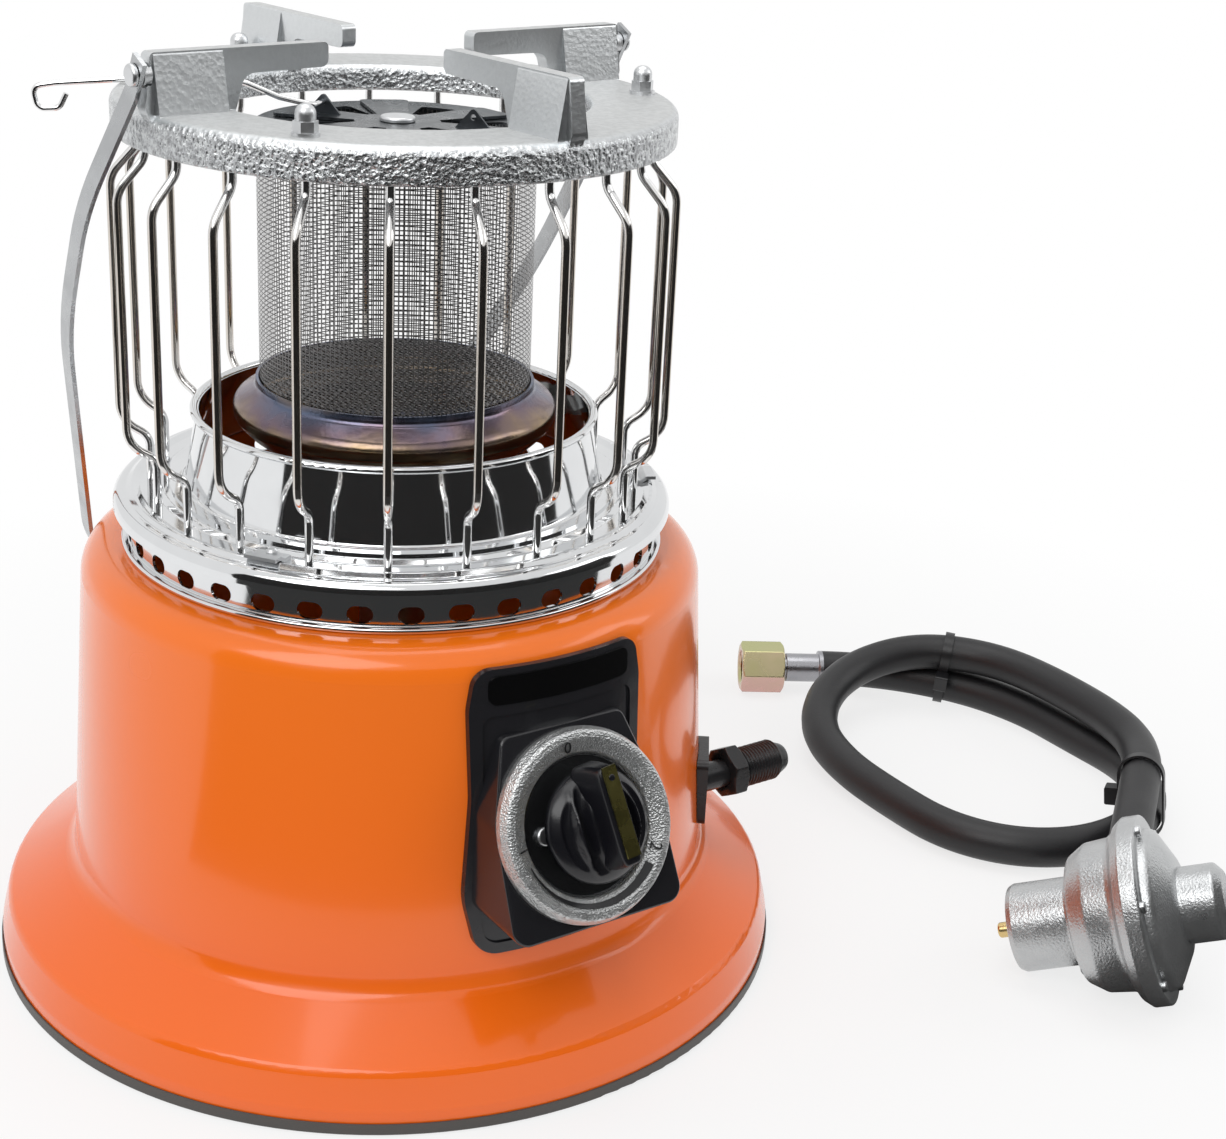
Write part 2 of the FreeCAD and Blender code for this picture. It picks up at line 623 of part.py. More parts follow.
cavity_shape = [(-31, -32, 3), (31, -32, 3), (29.5, 5, 9), (21.5, 24, 3), (-21.5, 24, 3),
                (-29.5, 5, 9)]
cavity_top = centre - outward * face_t
cavity = flat_face(cavity_shape, cavity_top, right, face_up).extrude(V(0, 60, 0))
stem_hole = rod(centre + outward * 20, centre - outward * 20, spindle_r + 1.5)
panel = plate.fuse(plinth).cut(cavity).cut(stem_hole)
for side in (-1, 1):
    spot = centre + right * (side * dial_screw_u)
    panel = panel.cut(rod(spot + outward * 5, spot - outward * 9, 1.8))
save("control_panel", [panel.removeSplitter()])

inlay_shape = [(-27.5, 43, 3), (27.5, 43, 3), (27.5, 53, 3), (-27.5, 53, 3)]
inlay = flat_face(inlay_shape, behind, right, UP).extrude(forward)
inlay = inlay.common(drum_solid(panel_gap + panel_t + 0.6)).cut(drum_solid(panel_gap + panel_t))
save("name_plate", [inlay])

# Dial: dished ring screwed through the plinth into the valve's ears
dial = lathe([(spindle_r + 1.5, 0, 0), (dial_r, 0, 0), (dial_r, 2.2, 0.8),
              (dial_r - 1.6, 5.6, 1.6), (dial_r - 4.2, 5.6, 1.2), (dial_r - 8.6, 3.4, 1.0),
              (dial_r - 9.8, dial_floor, 0.8), (spindle_r + 1.5, dial_floor, 0)])
for side in (-1, 1):
    dial = dial.cut(rod(V(side * dial_screw_u, 0, -1), V(side * dial_screw_u, 0, 5), 1.8))
save("dial_ring", [set_at(dial, centre, outward, right)])
screw = lathe([(0, dial_floor, 0), (0, dial_floor - 9, 0), (1.7, dial_floor - 9, 0.4),
               (1.7, dial_floor, 0), (dial_screw_r, dial_floor, 0),
               (dial_screw_r, dial_floor + 2.0, 1.0), (0, dial_floor + 2.0, 0)])
driver = Part.makeBox(0.9, 5, 1.5, V(-0.45, -2.5, dial_floor + 1.3))
screw = screw.cut(driver)
screws = [set_at(screw, centre + right * (side * dial_screw_u), outward, right) for side in (-1, 1)]
save("dial_screws", screws)

# Knob: skirt and grip fin, with a bare inlay strip and its spindle
knob_across = right * math.cos(math.radians(knob_rest)) + face_up * math.sin(math.radians(knob_rest))
skirt = lathe([(0, knob_lift + 0.8, 0), (knob_r - 2, knob_lift + 0.8, 0), (knob_r - 2, knob_lift, 0),
               (knob_r, knob_lift, 0), (knob_r, knob_lift + 1.8, 0.8),
               (14.5, knob_lift + 6.5, 5), (0, knob_lift + 7.5, 0)])
fin = slab([(-15.5, knob_lift + 1.5, 1), (22, knob_lift + 0.5, 2), (22, fin_top, 1.5),
            (-12, fin_top, 2.5), (-15.5, fin_top - 6, 4)], V(0, 0, 0), V(0, 1, 0), UP, fin_w)
grip = skirt.fuse(fin)
bore_top = knob_lift + 6
grip = grip.cut(disc(spindle_r + slip, -1, bore_top))
strip = Part.makeBox(strip_w, strip_len, strip_t,
                     V(-strip_w / 2, strip_from, fin_top - strip_t))
grip = grip.cut(strip)
save("knob", [set_at(grip.removeSplitter(), centre, outward, knob_across)])
save("knob_strip", [set_at(strip, centre, outward, knob_across)])

spindle_end = plug_top + 10
spindle = disc(spindle_r, -spindle_end, bore_top)
save("knob_spindle", [set_at(spindle, centre, outward, knob_across)])

# Valve: cast body with a tapered-cock plug, ears, neck and side inlet
plug = disc(plug_bore_r - plug_play, -plug_top - plug_len, -plug_top - plug_end_gap)
plug = plug.cut(disc(spindle_r + slip, -spindle_end - 6, 0))
save("valve_plug", [set_at(plug, centre, outward, right)])

ears = Part.makeBox(44, 14, 3, V(-22, -7, -face_t - 3))
for side in (-1, 1):
    ears = ears.cut(rod(V(side * dial_screw_u, 0, -9), V(side * dial_screw_u, 0, 0), 1.75))
neck = disc(neck_r, -plug_top, -face_t - 0.5)
block = Part.makeBox(30, 26, valve_end - plug_top + 3, V(-15, -13, -valve_end))
valve = ears.fuse(neck).fuse(block)
valve = valve.cut(disc(spindle_r + 0.6, -plug_top, 0))
valve = valve.cut(disc(plug_bore_r, -plug_top - plug_len - plug_end_gap, -plug_top))
valve = set_at(valve, centre, outward, right)
port = rod(V(8, inlet_y, inlet_z), V(pipe_start + 9, inlet_y, inlet_z), pipe_r + 3)
bore = rod(V(pipe_start, inlet_y, inlet_z), V(60, inlet_y, inlet_z), pipe_r + slip)
save("valve_body", [valve.fuse(port).cut(bore).removeSplitter()])

rear = centre - outward * valve_end
low = rear - outward * (-rear.y / math.cos(tilt))
jet_tube = bar([(rear, 0), (low, 12), (V(0, 0, jet_foot), 0)], 3.0)
save("gas_tube", [jet_tube])

# Gas inlet: pipe from the valve, backing plate on the drum and threaded fitting
drum_x = math.sqrt(drum_r(inlet_z) ** 2 - inlet_y ** 2)
hex_x = drum_x + hex_stand
socket_in = 4.5
pipe_end = hex_x + socket_in
pipe_line = rod(V(pipe_start, inlet_y, inlet_z), V(pipe_end, inlet_y, inlet_z), pipe_r)
pipe_line = pipe_line.cut(rod(*inlet_line, pipe_r - pipe_wall))
save("inlet_pipe", [pipe_line])

facing = math.degrees(math.atan2(inlet_y, drum_x))
facing_dir = polar(1, facing)
facing_side = polar(1, facing + 90)
pad_face = V(0, 0, inlet_z) + facing_dir * (drum_r(inlet_z) - 2)
pad = flat_face([(-13, -13.5, 3), (13, -13.5, 3), (13, 13.5, 3), (-13, 13.5, 3)],
                pad_face, facing_side, UP).extrude(facing_dir * 5.2)
pad = pad.cut(drum_solid(0.2))
pad = pad.cut(rod(*inlet_line, pipe_r + pipe_play))
save("inlet_plate", [pad])

thread_x = hex_x + hex_len
thread_end = thread_x + thread_len
nose = thread_end + flare_len
collar_x = set_at(hexagon(hex_flats, hex_x, thread_x), V(0, inlet_y, inlet_z), V(1, 0, 0), UP)
spigot = lathe([(0, thread_x, 0), (thread_r, thread_x, 0), (thread_r, thread_end, 0.8),
                (6.9, thread_end, 0), (5.4, nose, 0.9), (0, nose, 0)])
spigot = set_at(spigot, V(0, inlet_y, inlet_z), V(1, 0, 0), UP)
fitting = collar_x.fuse(spigot)
fitting = fitting.cut(rod(V(0, inlet_y, inlet_z), V(pipe_end, inlet_y, inlet_z), pipe_r + slip))
fitting = fitting.cut(rod(V(0, inlet_y, inlet_z), V(nose + 5, inlet_y, inlet_z), inlet_bore))
save("inlet_fitting", [fitting.removeSplitter()])

# Hose: one tube on straight runs and arcs, wound in two turns and tied twice
hose_points = [(284.2, 74.3, 11.05), (303.5, 62.5, 11.05), (331.5, 29, 10.4),
               (344.5, -6, 9.4), (343.6, -42, 9.4), (341.5, -78.4, 10.4), (326.1, -105.1, 10.4),
               (299.4, -120.5, 10.4), (268.6, -120.5, 9.4), (241.9, -105.1, 8.7),
               (226.5, -78.4, 8.6), (225.5, -45, 8.6), (226.5, -12, 9.4), (234.4, 17.8, 12.5),
               (256.2, 39.6, 18), (286, 47.5, 24), (315.8, 39.6, 28.2), (337.6, 17.8, 28.2),
               (345.5, -12, 28.2), (342, -66, 28.4), (326.1, -97.8, 29),
               (288.37, -127.5, 30.2), (250.54, -157.06, 30.2)]
hose_line = [V(*point) for point in hose_points]
arc_share = 0.45
route = [(hose_line[0], 0)]
for before, here, after in zip(hose_line, hose_line[1:], hose_line[2:]):
    shorter = min(before.distanceToPoint(here), here.distanceToPoint(after))
    turn = (here - before).getAngle(after - here)
    route.append((here, arc_share * shorter / math.tan(turn / 2)))
route.append((hose_line[-1], 0))
radii = [radius for point, radius in route if radius]
spine = Part.Wire(path_edges(route))
hose = bar(route, hose_r)
print("hose radii", [round(radius) for radius in radii])
print("hose length", round(spine.Length, 1), "volume over section times length",
      round(hose.Volume / (math.pi * hose_r ** 2 * spine.Length), 4))
walk = spine.discretize(Distance=3.0)
gaps = [walk[i].distanceToPoint(walk[j]) for i in range(len(walk))
        for j in range(i + 25, len(walk))]
print("least gap of the hose to itself", round(min(gaps) - 2 * hose_r, 2))
save("hose", [hose])

# Hose end: stem crimped to the hose, and the union nut that swivels on it
stem_start = hose_line[0]
nut_face = V(249.5, 95.5, nut_z)
stem_len = stem_start.distanceToPoint(nut_face)
nut_shape = hexagon(nut_af, 0, nut_len)
bevel = lathe([(0, -0.01, 0), (nut_af / 2 + 0.1, -0.01, 0), (nut_af / 2 + 1.8, 1.6, 0),
               (nut_af / 2 + 1.8, nut_len - 1.6, 0), (nut_af / 2 + 0.1, nut_len + 0.01, 0),
               (0, nut_len + 0.01, 0)])
mouth_depth = nut_len - nut_wall
nut_shape = nut_shape.common(bevel)
nut_shape = nut_shape.cut(disc(thread_r, -1, nut_thread_len))
nut_shape = nut_shape.cut(disc(thread_r + nut_relief, nut_thread_len, mouth_depth))
nut_shape = nut_shape.cut(disc(stem_neck_r + slip, -1, nut_len + 1))
back_dir = (stem_start - nut_face).normalize()
side_dir = back_dir.cross(UP).normalize()
save("hose_nut", [set_at(nut_shape, nut_face, back_dir, side_dir)])
nose_at = nut_thread_len + 0.4
stem = lathe([(0, nose_at, 0), (4, nose_at, 0.8), (7.2, mouth_depth - 1.2, 0),
              (7.2, mouth_depth - 0.3, 0), (stem_neck_r, mouth_depth - 0.3, 0),
              (stem_neck_r, nut_len + 1.5, 0), (7.0, nut_len + 1.5, 0.4),
              (7.0, stem_len - 2.0, 0.4),
              (hose_r, stem_len - 2.0, 0.4), (hose_r, stem_len, 0), (0, stem_len, 0)])
save("hose_stem", [set_at(stem, nut_face, back_dir, side_dir)])

# Regulator: socket, housing, cover, cap, vent and tank pin on one leaning axis
reg_turn = math.radians(-52.0)
reg_lean = math.radians(21.5)
reg_axis = V(math.cos(reg_turn) * math.cos(reg_lean),
             math.sin(reg_turn) * math.cos(reg_lean), math.sin(reg_lean))
outlet_dir = V(math.cos(reg_turn + math.pi / 2), math.sin(reg_turn + math.pi / 2), 0)
reg_centre = V(216.4, -197.9, 34.6)
outlet_at = -12.0
housing = lathe([(0, socket_at, 0), (socket_r - 1, socket_at, 0.6),
                 (socket_r, socket_at + 2, 0.6),
                 (socket_r, -27, 1.5), (24, -26, 3), (28.5, -19, 4), (29.5, -8, 3),
                 (reg_r - 2.5, -6, 1.5),
                 (reg_r, -3, 1), (reg_r, 0, 0), (0, 0, 0)])
outlet = Part.makeCylinder(outlet_r, outlet_len, V(0, 0, outlet_at), V(1, 0, 0))
vent_dir = (V(-math.cos(math.radians(25)), -math.sin(math.radians(25)), 0))
vent_pipe = Part.makeCylinder(6, 24, V(0, 0, -20), vent_dir)
vent_bore = Part.makeCylinder(2.6, 8, V(0, 0, -20) + vent_dir * 18, vent_dir)
housing = housing.fuse([outlet, vent_pipe])
housing = housing.cut(disc(socket_bore_r, socket_at - 1, socket_floor))
housing = housing.cut(vent_bore)
save("regulator_body", [set_at(housing.removeSplitter(), reg_centre, reg_axis, outlet_dir)])

cover = lathe([(0, 0, 0), (reg_r, 0, 0), (reg_r, reg_flange - 3.5, 1),
               (reg_cover_r - 2.3, reg_flange - 3.5, 0.6), (reg_cover_r - 3, reg_flange, 3),
               (18, 13.5, 8), (14.8, 14, 1), (0, 14, 0)])
save("regulator_cover", [set_at(cover, reg_centre, reg_axis, outlet_dir)])
bonnet = lathe([(0, 14, 0), (14.5, 14, 0), (14.5, 27, 2), (11, 30, 1.5), (0, 30, 0)])
save("regulator_cap", [set_at(bonnet, reg_centre, reg_axis, outlet_dir)])
pin_tip = socket_at - 7
pin = lathe([(0, socket_floor, 0), (4.5, socket_floor, 0), (4.5, socket_at + 7, 0.5),
             (3.0, socket_at + 6, 0), (3.0, pin_tip, 1.0), (0, pin_tip, 0)])
save("regulator_pin", [set_at(pin, reg_centre, reg_axis, outlet_dir)])
ledge = reg_flange - 3.5
rim_screw = lathe([(0, ledge, 0), (2.1, ledge, 0), (2.1, ledge + 1.7, 0.6), (0, ledge + 1.7, 0)])
rim_screw.translate(V(reg_r - 2.9, 0, 0))
rim_screws = [set_at(turned(rim_screw, 30 + 60 * k), reg_centre, reg_axis, outlet_dir)
              for k in range(6)]
save("regulator_screws", rim_screws)

outlet_face = reg_centre + reg_axis * outlet_at + outlet_dir * outlet_len
hose_end = hose_line[-1]
cuff_dir = (hose_end - outlet_face).normalize()
cuff_len = hose_end.distanceToPoint(outlet_face)
cuff = lathe([(0, 0, 0), (9.2, 0, 0.5), (9.2, 4, 0.4), (8.6, 4, 0), (8.6, 5.5, 0),
              (ferrule_r, 5.5, 0.5), (ferrule_r, cuff_len, 0.5), (0, cuff_len, 0)])
cuff_side = cuff_dir.cross(UP).normalize()
save("regulator_ferrule", [set_at(cuff, outlet_face, cuff_dir, cuff_side)])


# Cable ties: flat bands round both strands, each with its square head
def tie(lower, upper, along, head_side):
    """Band round two stacked strands; along is their heading."""
    up = (upper - lower).normalize()
    heading = (along - up * along.dot(up)).normalize()
    across = up.cross(heading)
    middle = (lower + upper) * 0.5
    grown = hose_r + tie_play
    reach = (upper - lower).Length / 2 + grown
    fillet = grown * 0.999
    inside = [(-grown, -reach, fillet), (grown, -reach, fillet), (grown, reach, fillet),
              (-grown, reach, fillet)]
    wide = grown + tie_t
    tall = reach + tie_t
    round_off = wide * 0.999
    outside = [(-wide, -tall, round_off), (wide, -tall, round_off), (wide, tall, round_off),
               (-wide, tall, round_off)]
    band = slab(outside, middle, across, up, tie_w)
    head_at = middle + across * (head_side * (wide + 2.4))
    head = slab([(-3.1, -4, 0.8), (3.1, -4, 0.8), (3.1, 4, 0.8), (-3.1, 4, 0.8)],
                head_at, across, up, tie_w + 1.6)
    band = band.fuse(head).cut(slab(inside, middle, across, up, tie_w + 4))
    return band.removeSplitter()


def nearest(point, low, high):
    """Point of the hose's line nearest to a place, among its heights."""
    strand = [p for p in walk if low < p.z < high]
    return min(strand, key=lambda p: p.distanceToPoint(point))


coil_middle = V(285, -35, 0)
ties = []
for place, side in ((V(326, 33, 15), 1), (V(308, -114, 15), 1)):
    lower = nearest(place, 0, 13)
    upper = nearest(lower + V(0, 0, 18), 24, 40)
    onward = UP.cross(lower - coil_middle).normalize() * 6
    heading = nearest(lower + onward, 0, 13) - lower + nearest(upper + onward, 24, 40) - upper
    ties.append(tie(lower, upper, heading, side))
save("cable_ties", ties)
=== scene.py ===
# %% [markdown]
# A portable propane heater, dressed for its picture. This lesson gives each of
# them the finish of the real thing and adds the few pieces that need a finer
# shape: woven mesh, threads, the hose, the moulded knob and the numbers on the
# dial.

# %% Load the solids and keep their box
import json
import math

import bpy
from mathutils import Matrix, Vector


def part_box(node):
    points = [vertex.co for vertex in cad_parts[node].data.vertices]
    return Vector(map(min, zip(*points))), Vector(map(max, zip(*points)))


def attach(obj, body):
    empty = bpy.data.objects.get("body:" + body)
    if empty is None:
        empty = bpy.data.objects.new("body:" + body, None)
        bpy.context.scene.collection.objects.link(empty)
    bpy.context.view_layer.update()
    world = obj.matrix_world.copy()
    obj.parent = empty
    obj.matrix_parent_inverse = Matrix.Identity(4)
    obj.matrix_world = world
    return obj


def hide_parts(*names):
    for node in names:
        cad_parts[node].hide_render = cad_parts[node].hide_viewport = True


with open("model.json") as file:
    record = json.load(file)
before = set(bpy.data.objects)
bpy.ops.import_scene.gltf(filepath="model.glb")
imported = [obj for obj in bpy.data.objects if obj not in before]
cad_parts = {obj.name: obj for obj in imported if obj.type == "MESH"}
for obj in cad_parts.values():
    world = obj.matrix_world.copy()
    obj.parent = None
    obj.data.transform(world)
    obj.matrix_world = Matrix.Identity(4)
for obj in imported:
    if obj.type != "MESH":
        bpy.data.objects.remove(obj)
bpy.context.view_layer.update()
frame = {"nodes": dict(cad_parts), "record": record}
nodes = frame["nodes"]

# %% [markdown]
# The camera stands a little left of the control panel and looks down on the
# heater. Its place and lens were worked out from the circles of the base, the
# ring and the wire guard, so the drawing of those circles fixes the view.
# A matrix built from three axes is used because the camera is rolled slightly.

# %% Camera
IMAGE_W = 1226
FOCAL_PX = 2083.9
SENSOR_MM = 36.0
camera_at = Vector((-0.3538, -0.6382, 0.4383))
view_turn = math.radians(54.54)
view_drop = math.radians(21.79)
view_roll = 0.0499

ahead = Vector((math.cos(view_turn) * math.cos(view_drop),
                math.sin(view_turn) * math.cos(view_drop), -math.sin(view_drop)))
level_right = ahead.cross(Vector((0, 0, 1))).normalized()
level_up = level_right.cross(ahead)
cam_right = level_right * math.cos(view_roll) + level_up * math.sin(view_roll)
cam_up = level_up * math.cos(view_roll) - level_right * math.sin(view_roll)

lens = bpy.data.cameras.new("photo_camera")
lens.sensor_width = SENSOR_MM
lens.lens = FOCAL_PX / IMAGE_W * SENSOR_MM
lens.clip_start = 0.01
camera = bpy.data.objects.new("photo_camera", lens)
turn = Matrix((cam_right, cam_up, -ahead)).transposed()
camera.matrix_world = Matrix.Translation(camera_at) @ turn.to_4x4()
bpy.context.scene.collection.objects.link(camera)
bpy.context.scene.camera = camera
bpy.context.scene.view_settings.view_transform = "Standard"
print("lens", round(lens.lens, 2), "mm")

# %% [markdown]
# Materials are written as sums. Wire holds one output of a shader node, and
# +, - and * on it add the Math node that the sum needs, so a recipe reads like
# arithmetic. Every other node comes from its add method.

# %% The helper for shader sums
class Wire:
    """One output socket of a shader tree that can stand in a Python sum."""

    def __init__(self, tree, socket=None):
        self.tree = tree
        self.socket = socket

    def add(self, kind, settings=None, inputs=None, out=0):
        """Add a node: its settings first, then the values or links of its sockets."""
        made = self.tree.nodes.new(kind)
        for name, value in (settings or {}).items():
            if name == "stops":
                ramp = made.color_ramp.elements
                ramp.remove(ramp[1])
                ramp[0].position, ramp[0].color = value[0]
                for position, colour in value[1:]:
                    ramp.new(position).color = colour
            else:
                setattr(made, name, value)
        for name, value in (inputs or {}).items():
            if isinstance(value, Wire):
                self.tree.links.new(value.socket, made.inputs[name])
            else:
                made.inputs[name].default_value = value
        return Wire(self.tree, made.outputs[out])

    def math(self, operation, first, second=0.0, third=0.0):
        """Add a Math node, which the operators below stand for."""
        return self.add("ShaderNodeMath", {"operation": operation},
                        {0: first, 1: second, 2: third})

    def __add__(self, other):
        return self.math("ADD", self, other)

    def __sub__(self, other):
        return self.math("SUBTRACT", self, other)

    def __rsub__(self, other):
        return self.math("SUBTRACT", other, self)

    def __mul__(self, other):
        return self.math("MULTIPLY", self, other)

    __radd__ = __add__
    __rmul__ = __mul__


# %% Small words for the recipes
NOISE_LOW, NOISE_HIGH = 0.3, 0.7


def colour(r, g, b):
    return (r, g, b, 1.0)


def place(w):
    """Where a point of the surface is, in metres."""
    return w.add("ShaderNodeTexCoord", out="Object")


def axes(w, where):
    """The x, y and z of a place."""
    split = w.add("ShaderNodeSeparateXYZ", inputs={0: where})
    tree = split.socket.node.outputs
    return [Wire(w.tree, tree[i]) for i in range(3)]


def noise(w, where, scale, detail=2.0, roughness=0.5):
    """Soft speckle from 0 to 1, with so many cells to the metre."""
    return w.add("ShaderNodeTexNoise", inputs={"Vector": where, "Scale": scale,
                 "Detail": detail, "Roughness": roughness})


def cells(w, where, scale):
    """Distance to the nearest of many scattered points, for pits and grains."""
    return w.add("ShaderNodeTexVoronoi", inputs={"Vector": where, "Scale": scale})


def between(w, value, low, high, start=0.0, end=1.0):
    """Stretch a value from low..high to start..end and hold it there."""
    return w.add("ShaderNodeMapRange", {"clamp": True},
                 {"Value": value, "From Min": low, "From Max": high,
                  "To Min": start, "To Max": end})


def spread(w, speckle, low, high):
    """Stretch the range that a noise mostly covers to low..high."""
    return between(w, speckle, NOISE_LOW, NOISE_HIGH, low, high)


def mix(w, amount, first, second):
    """A colour part of the way from the first to the second."""
    return w.add("ShaderNodeMix", {"data_type": "RGBA"}, {0: amount, 6: first, 7: second}, out=2)


def bump(w, height, depth, strength=1.0):
    """A surface normal from a height that goes from 0 to 1 over a depth in metres."""
    return w.add("ShaderNodeBump", inputs={"Height": height, "Distance": depth,
                                           "Strength": strength})


def facing_up(w):
    """How far the surface faces up, from -1 to 1."""
    return axes(w, w.add("ShaderNodeNewGeometry", out="Normal"))[2]


finishes = {}


def finish(name, recipe):
    """Make a material from a recipe that returns the values of its main shader."""
    material = bpy.data.materials.new(name)
    material.use_nodes = True
    tree = material.node_tree
    shader = tree.nodes["Principled BSDF"]
    for socket, value in recipe(Wire(tree)).items():
        if isinstance(value, Wire):
            tree.links.new(value.socket, shader.inputs[socket])
        else:
            shader.inputs[socket].default_value = value
    finishes[name] = material


print("helpers ready")

# %% [markdown]
# The drum is sprayed in glossy orange enamel. Enamel is a coloured coat under
# a clear one, so the shader has a coat, and a very low wide noise gives the
# slight ripple that paint on pressed steel has. The colour drifts a little
# towards red low on the foot.

# %% Orange enamel
ENAMEL_HIGH = colour(1.0, 0.200, 0.008)
ENAMEL_LOW = colour(1.0, 0.150, 0.006)
REDDER_BELOW = 0.16


def enamel(w):
    where = place(w)
    drift = noise(w, where, 9.0, 3.0)
    low = between(w, axes(w, where)[2], 0.0, REDDER_BELOW, 1.0, 0.0)
    ripple = noise(w, where, 260.0, 1.0)
    return {"Base Color": mix(w, low * 0.75 + drift * 0.2, ENAMEL_HIGH, ENAMEL_LOW),
            "Roughness": spread(w, drift, 0.20, 0.28),
            "Coat Weight": 0.6, "Coat Roughness": 0.09, "Specular IOR Level": 0.35,
            "Normal": bump(w, ripple, 0.00004)}


finish("shell_paint", enamel)
print("enamel made")

# %% [markdown]
# The collar, tray and reflector are thin plated sheet. Plating is a near
# mirror, and what makes it look real is that sheet is never flat, so a soft
# wide bump bends the reflections and a faint smear changes the roughness. The
# guard's wires are browned where the flame is beside them, and the same warm
# band also holds a painted reflection of orange.

# %% Plated sheet and plated wire
WARM_BAND_FROM, WARM_BAND_TO = 0.195, 0.300
WARM_BAND_FADE = 0.020


def plated_sheet(w):
    where = place(w)
    smear = noise(w, where, 24.0, 4.0, 0.6)
    buckle = noise(w, where, 30.0, 1.0)
    return {"Base Color": mix(w, smear, colour(0.84, 0.85, 0.86), colour(0.66, 0.67, 0.68)),
            "Metallic": 1.0, "Roughness": between(w, smear, 0.3, 0.75, 0.04, 0.12),
            "Normal": bump(w, buckle, 0.0010, 0.6)}


def plated_wire(w):
    where = place(w)
    z = axes(w, where)[2]
    smear = noise(w, where, 60.0, 3.0)
    # The warm band in the base colour is partly real heat tint and partly a painted reflection of
    # orange.
    heat_and_painted_orange = (between(w, z, WARM_BAND_FROM, WARM_BAND_FROM + WARM_BAND_FADE)
            * between(w, z, WARM_BAND_TO, WARM_BAND_TO - WARM_BAND_FADE))
    tint_and_reflection = mix(w, heat_and_painted_orange * 0.55, colour(0.84, 0.84, 0.84), colour(0.56, 0.47, 0.37))
    return {"Base Color": tint_and_reflection, "Metallic": 1.0,
            "Roughness": between(w, smear, 0.3, 0.75, 0.08, 0.18),
            "Normal": bump(w, smear, 0.0002, 0.4)}


finish("plated_sheet", plated_sheet)
finish("wire_chrome", plated_wire)
print("plating made")

# %% [markdown]
# The pan support is a sand casting with bright plating over it. Its skirt and
# the sides of the rests keep the grain of the sand, while the flat top was
# ground, so the grain is scaled by how far the surface faces up.

# %% Plated casting
PLATE_T = 0.004
RING_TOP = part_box("guard_top_ring")[1].z + PLATE_T
SKIRT_FADE = 0.003


def plated_casting(w):
    where = place(w)
    z = axes(w, where)[2]
    grain = cells(w, where, 640.0)
    lumps = noise(w, where, 420.0, 4.0, 0.65)
    flat = between(w, facing_up(w), 0.80, 0.97)
    skirt = between(w, z, RING_TOP, RING_TOP - SKIRT_FADE) * (1 - flat)
    rough_side = skirt * 0.92 + 0.08 - flat * 0.03
    height = (grain * 0.6 + lumps) * rough_side
    fleck = between(w, lumps, 0.40, 0.62)
    side_tone = mix(w, fleck * rough_side, colour(0.70, 0.72, 0.73), colour(0.40, 0.41, 0.42))
    top_tone = mix(w, fleck, colour(0.60, 0.61, 0.61), colour(0.52, 0.53, 0.53))
    return {"Base Color": mix(w, flat, side_tone, top_tone),
            "Metallic": between(w, flat, 0.0, 1.0, 1.0, 0.55),
            "Roughness": flat * 0.16 + 0.30 - skirt * 0.12 + lumps * 0.06,
            "Normal": bump(w, height, 0.0011, 0.9)}


finish("cast_plate", plated_casting)
print("casting made")

# %% [markdown]
# Steel near the flame changes colour in bands: straw, brown, then blue. Oxide
# colour follows temperature, so a ramp along the height does it, pushed about
# by a noise so that the bands wander as real ones do.

# %% Heat-tinted steel and plain steels
HEAT_FROM, HEAT_TO = 0.195, 0.250
BAND_WANDER = 0.022
HEAT_STOPS = [(0.0, colour(0.20, 0.19, 0.18)), (0.30, colour(0.24, 0.19, 0.15)),
              (0.45, colour(0.36, 0.26, 0.15)), (0.56, colour(0.19, 0.14, 0.17)),
              (0.66, colour(0.13, 0.16, 0.24)), (0.80, colour(0.34, 0.26, 0.19)),
              (1.0, colour(0.11, 0.10, 0.09))]


def heat_tinted(w):
    where = place(w)
    z = axes(w, where)[2]
    wander = noise(w, where, 28.0, 4.0, 0.6)
    level = between(w, z + wander * BAND_WANDER, HEAT_FROM, HEAT_TO)
    bands = w.add("ShaderNodeValToRGB", {"stops": HEAT_STOPS}, {"Fac": level})
    brushed = noise(w, where, 420.0, 2.0)
    return {"Base Color": bands, "Metallic": 1.0,
            "Roughness": spread(w, wander, 0.17, 0.30),
            "Normal": bump(w, brushed, 0.00008)}


def steel(tone_low, tone_high, rough_low, rough_high, metal=1.0):
    """A recipe for bare or plated steel with a slight mottle."""
    def recipe(w):
        where = place(w)
        mottle = noise(w, where, 90.0, 4.0, 0.6)
        fine = noise(w, where, 900.0, 2.0)
        return {"Base Color": mix(w, mottle, tone_low, tone_high), "Metallic": metal,
                "Roughness": spread(w, mottle, rough_low, rough_high),
                "Normal": bump(w, fine, 0.00006)}
    return recipe


finish("heat_steel", heat_tinted)
finish("plain_steel", steel(colour(0.50, 0.50, 0.50), colour(0.62, 0.62, 0.61), 0.28, 0.42))
finish("zinc_screw", steel(colour(0.74, 0.75, 0.76), colour(0.60, 0.61, 0.62), 0.28, 0.40))
finish("stem_zinc", steel(colour(0.42, 0.42, 0.44), colour(0.30, 0.30, 0.32), 0.24, 0.36))
finish("bail_steel", steel(colour(0.54, 0.55, 0.56), colour(0.40, 0.41, 0.42), 0.22, 0.34))
finish("dark_steel", steel(colour(0.055, 0.062, 0.070), colour(0.14, 0.15, 0.16), 0.20, 0.38))
finish("black_fitting", steel(colour(0.016, 0.016, 0.017), colour(0.030, 0.030, 0.032),
                              0.24, 0.36, metal=0.25))
finish("brass", steel(colour(0.66, 0.47, 0.20), colour(0.78, 0.60, 0.30), 0.18, 0.32))
finish("strip_brass", steel(colour(0.36, 0.32, 0.09), colour(0.44, 0.40, 0.14), 0.22, 0.32))
print("steels made")

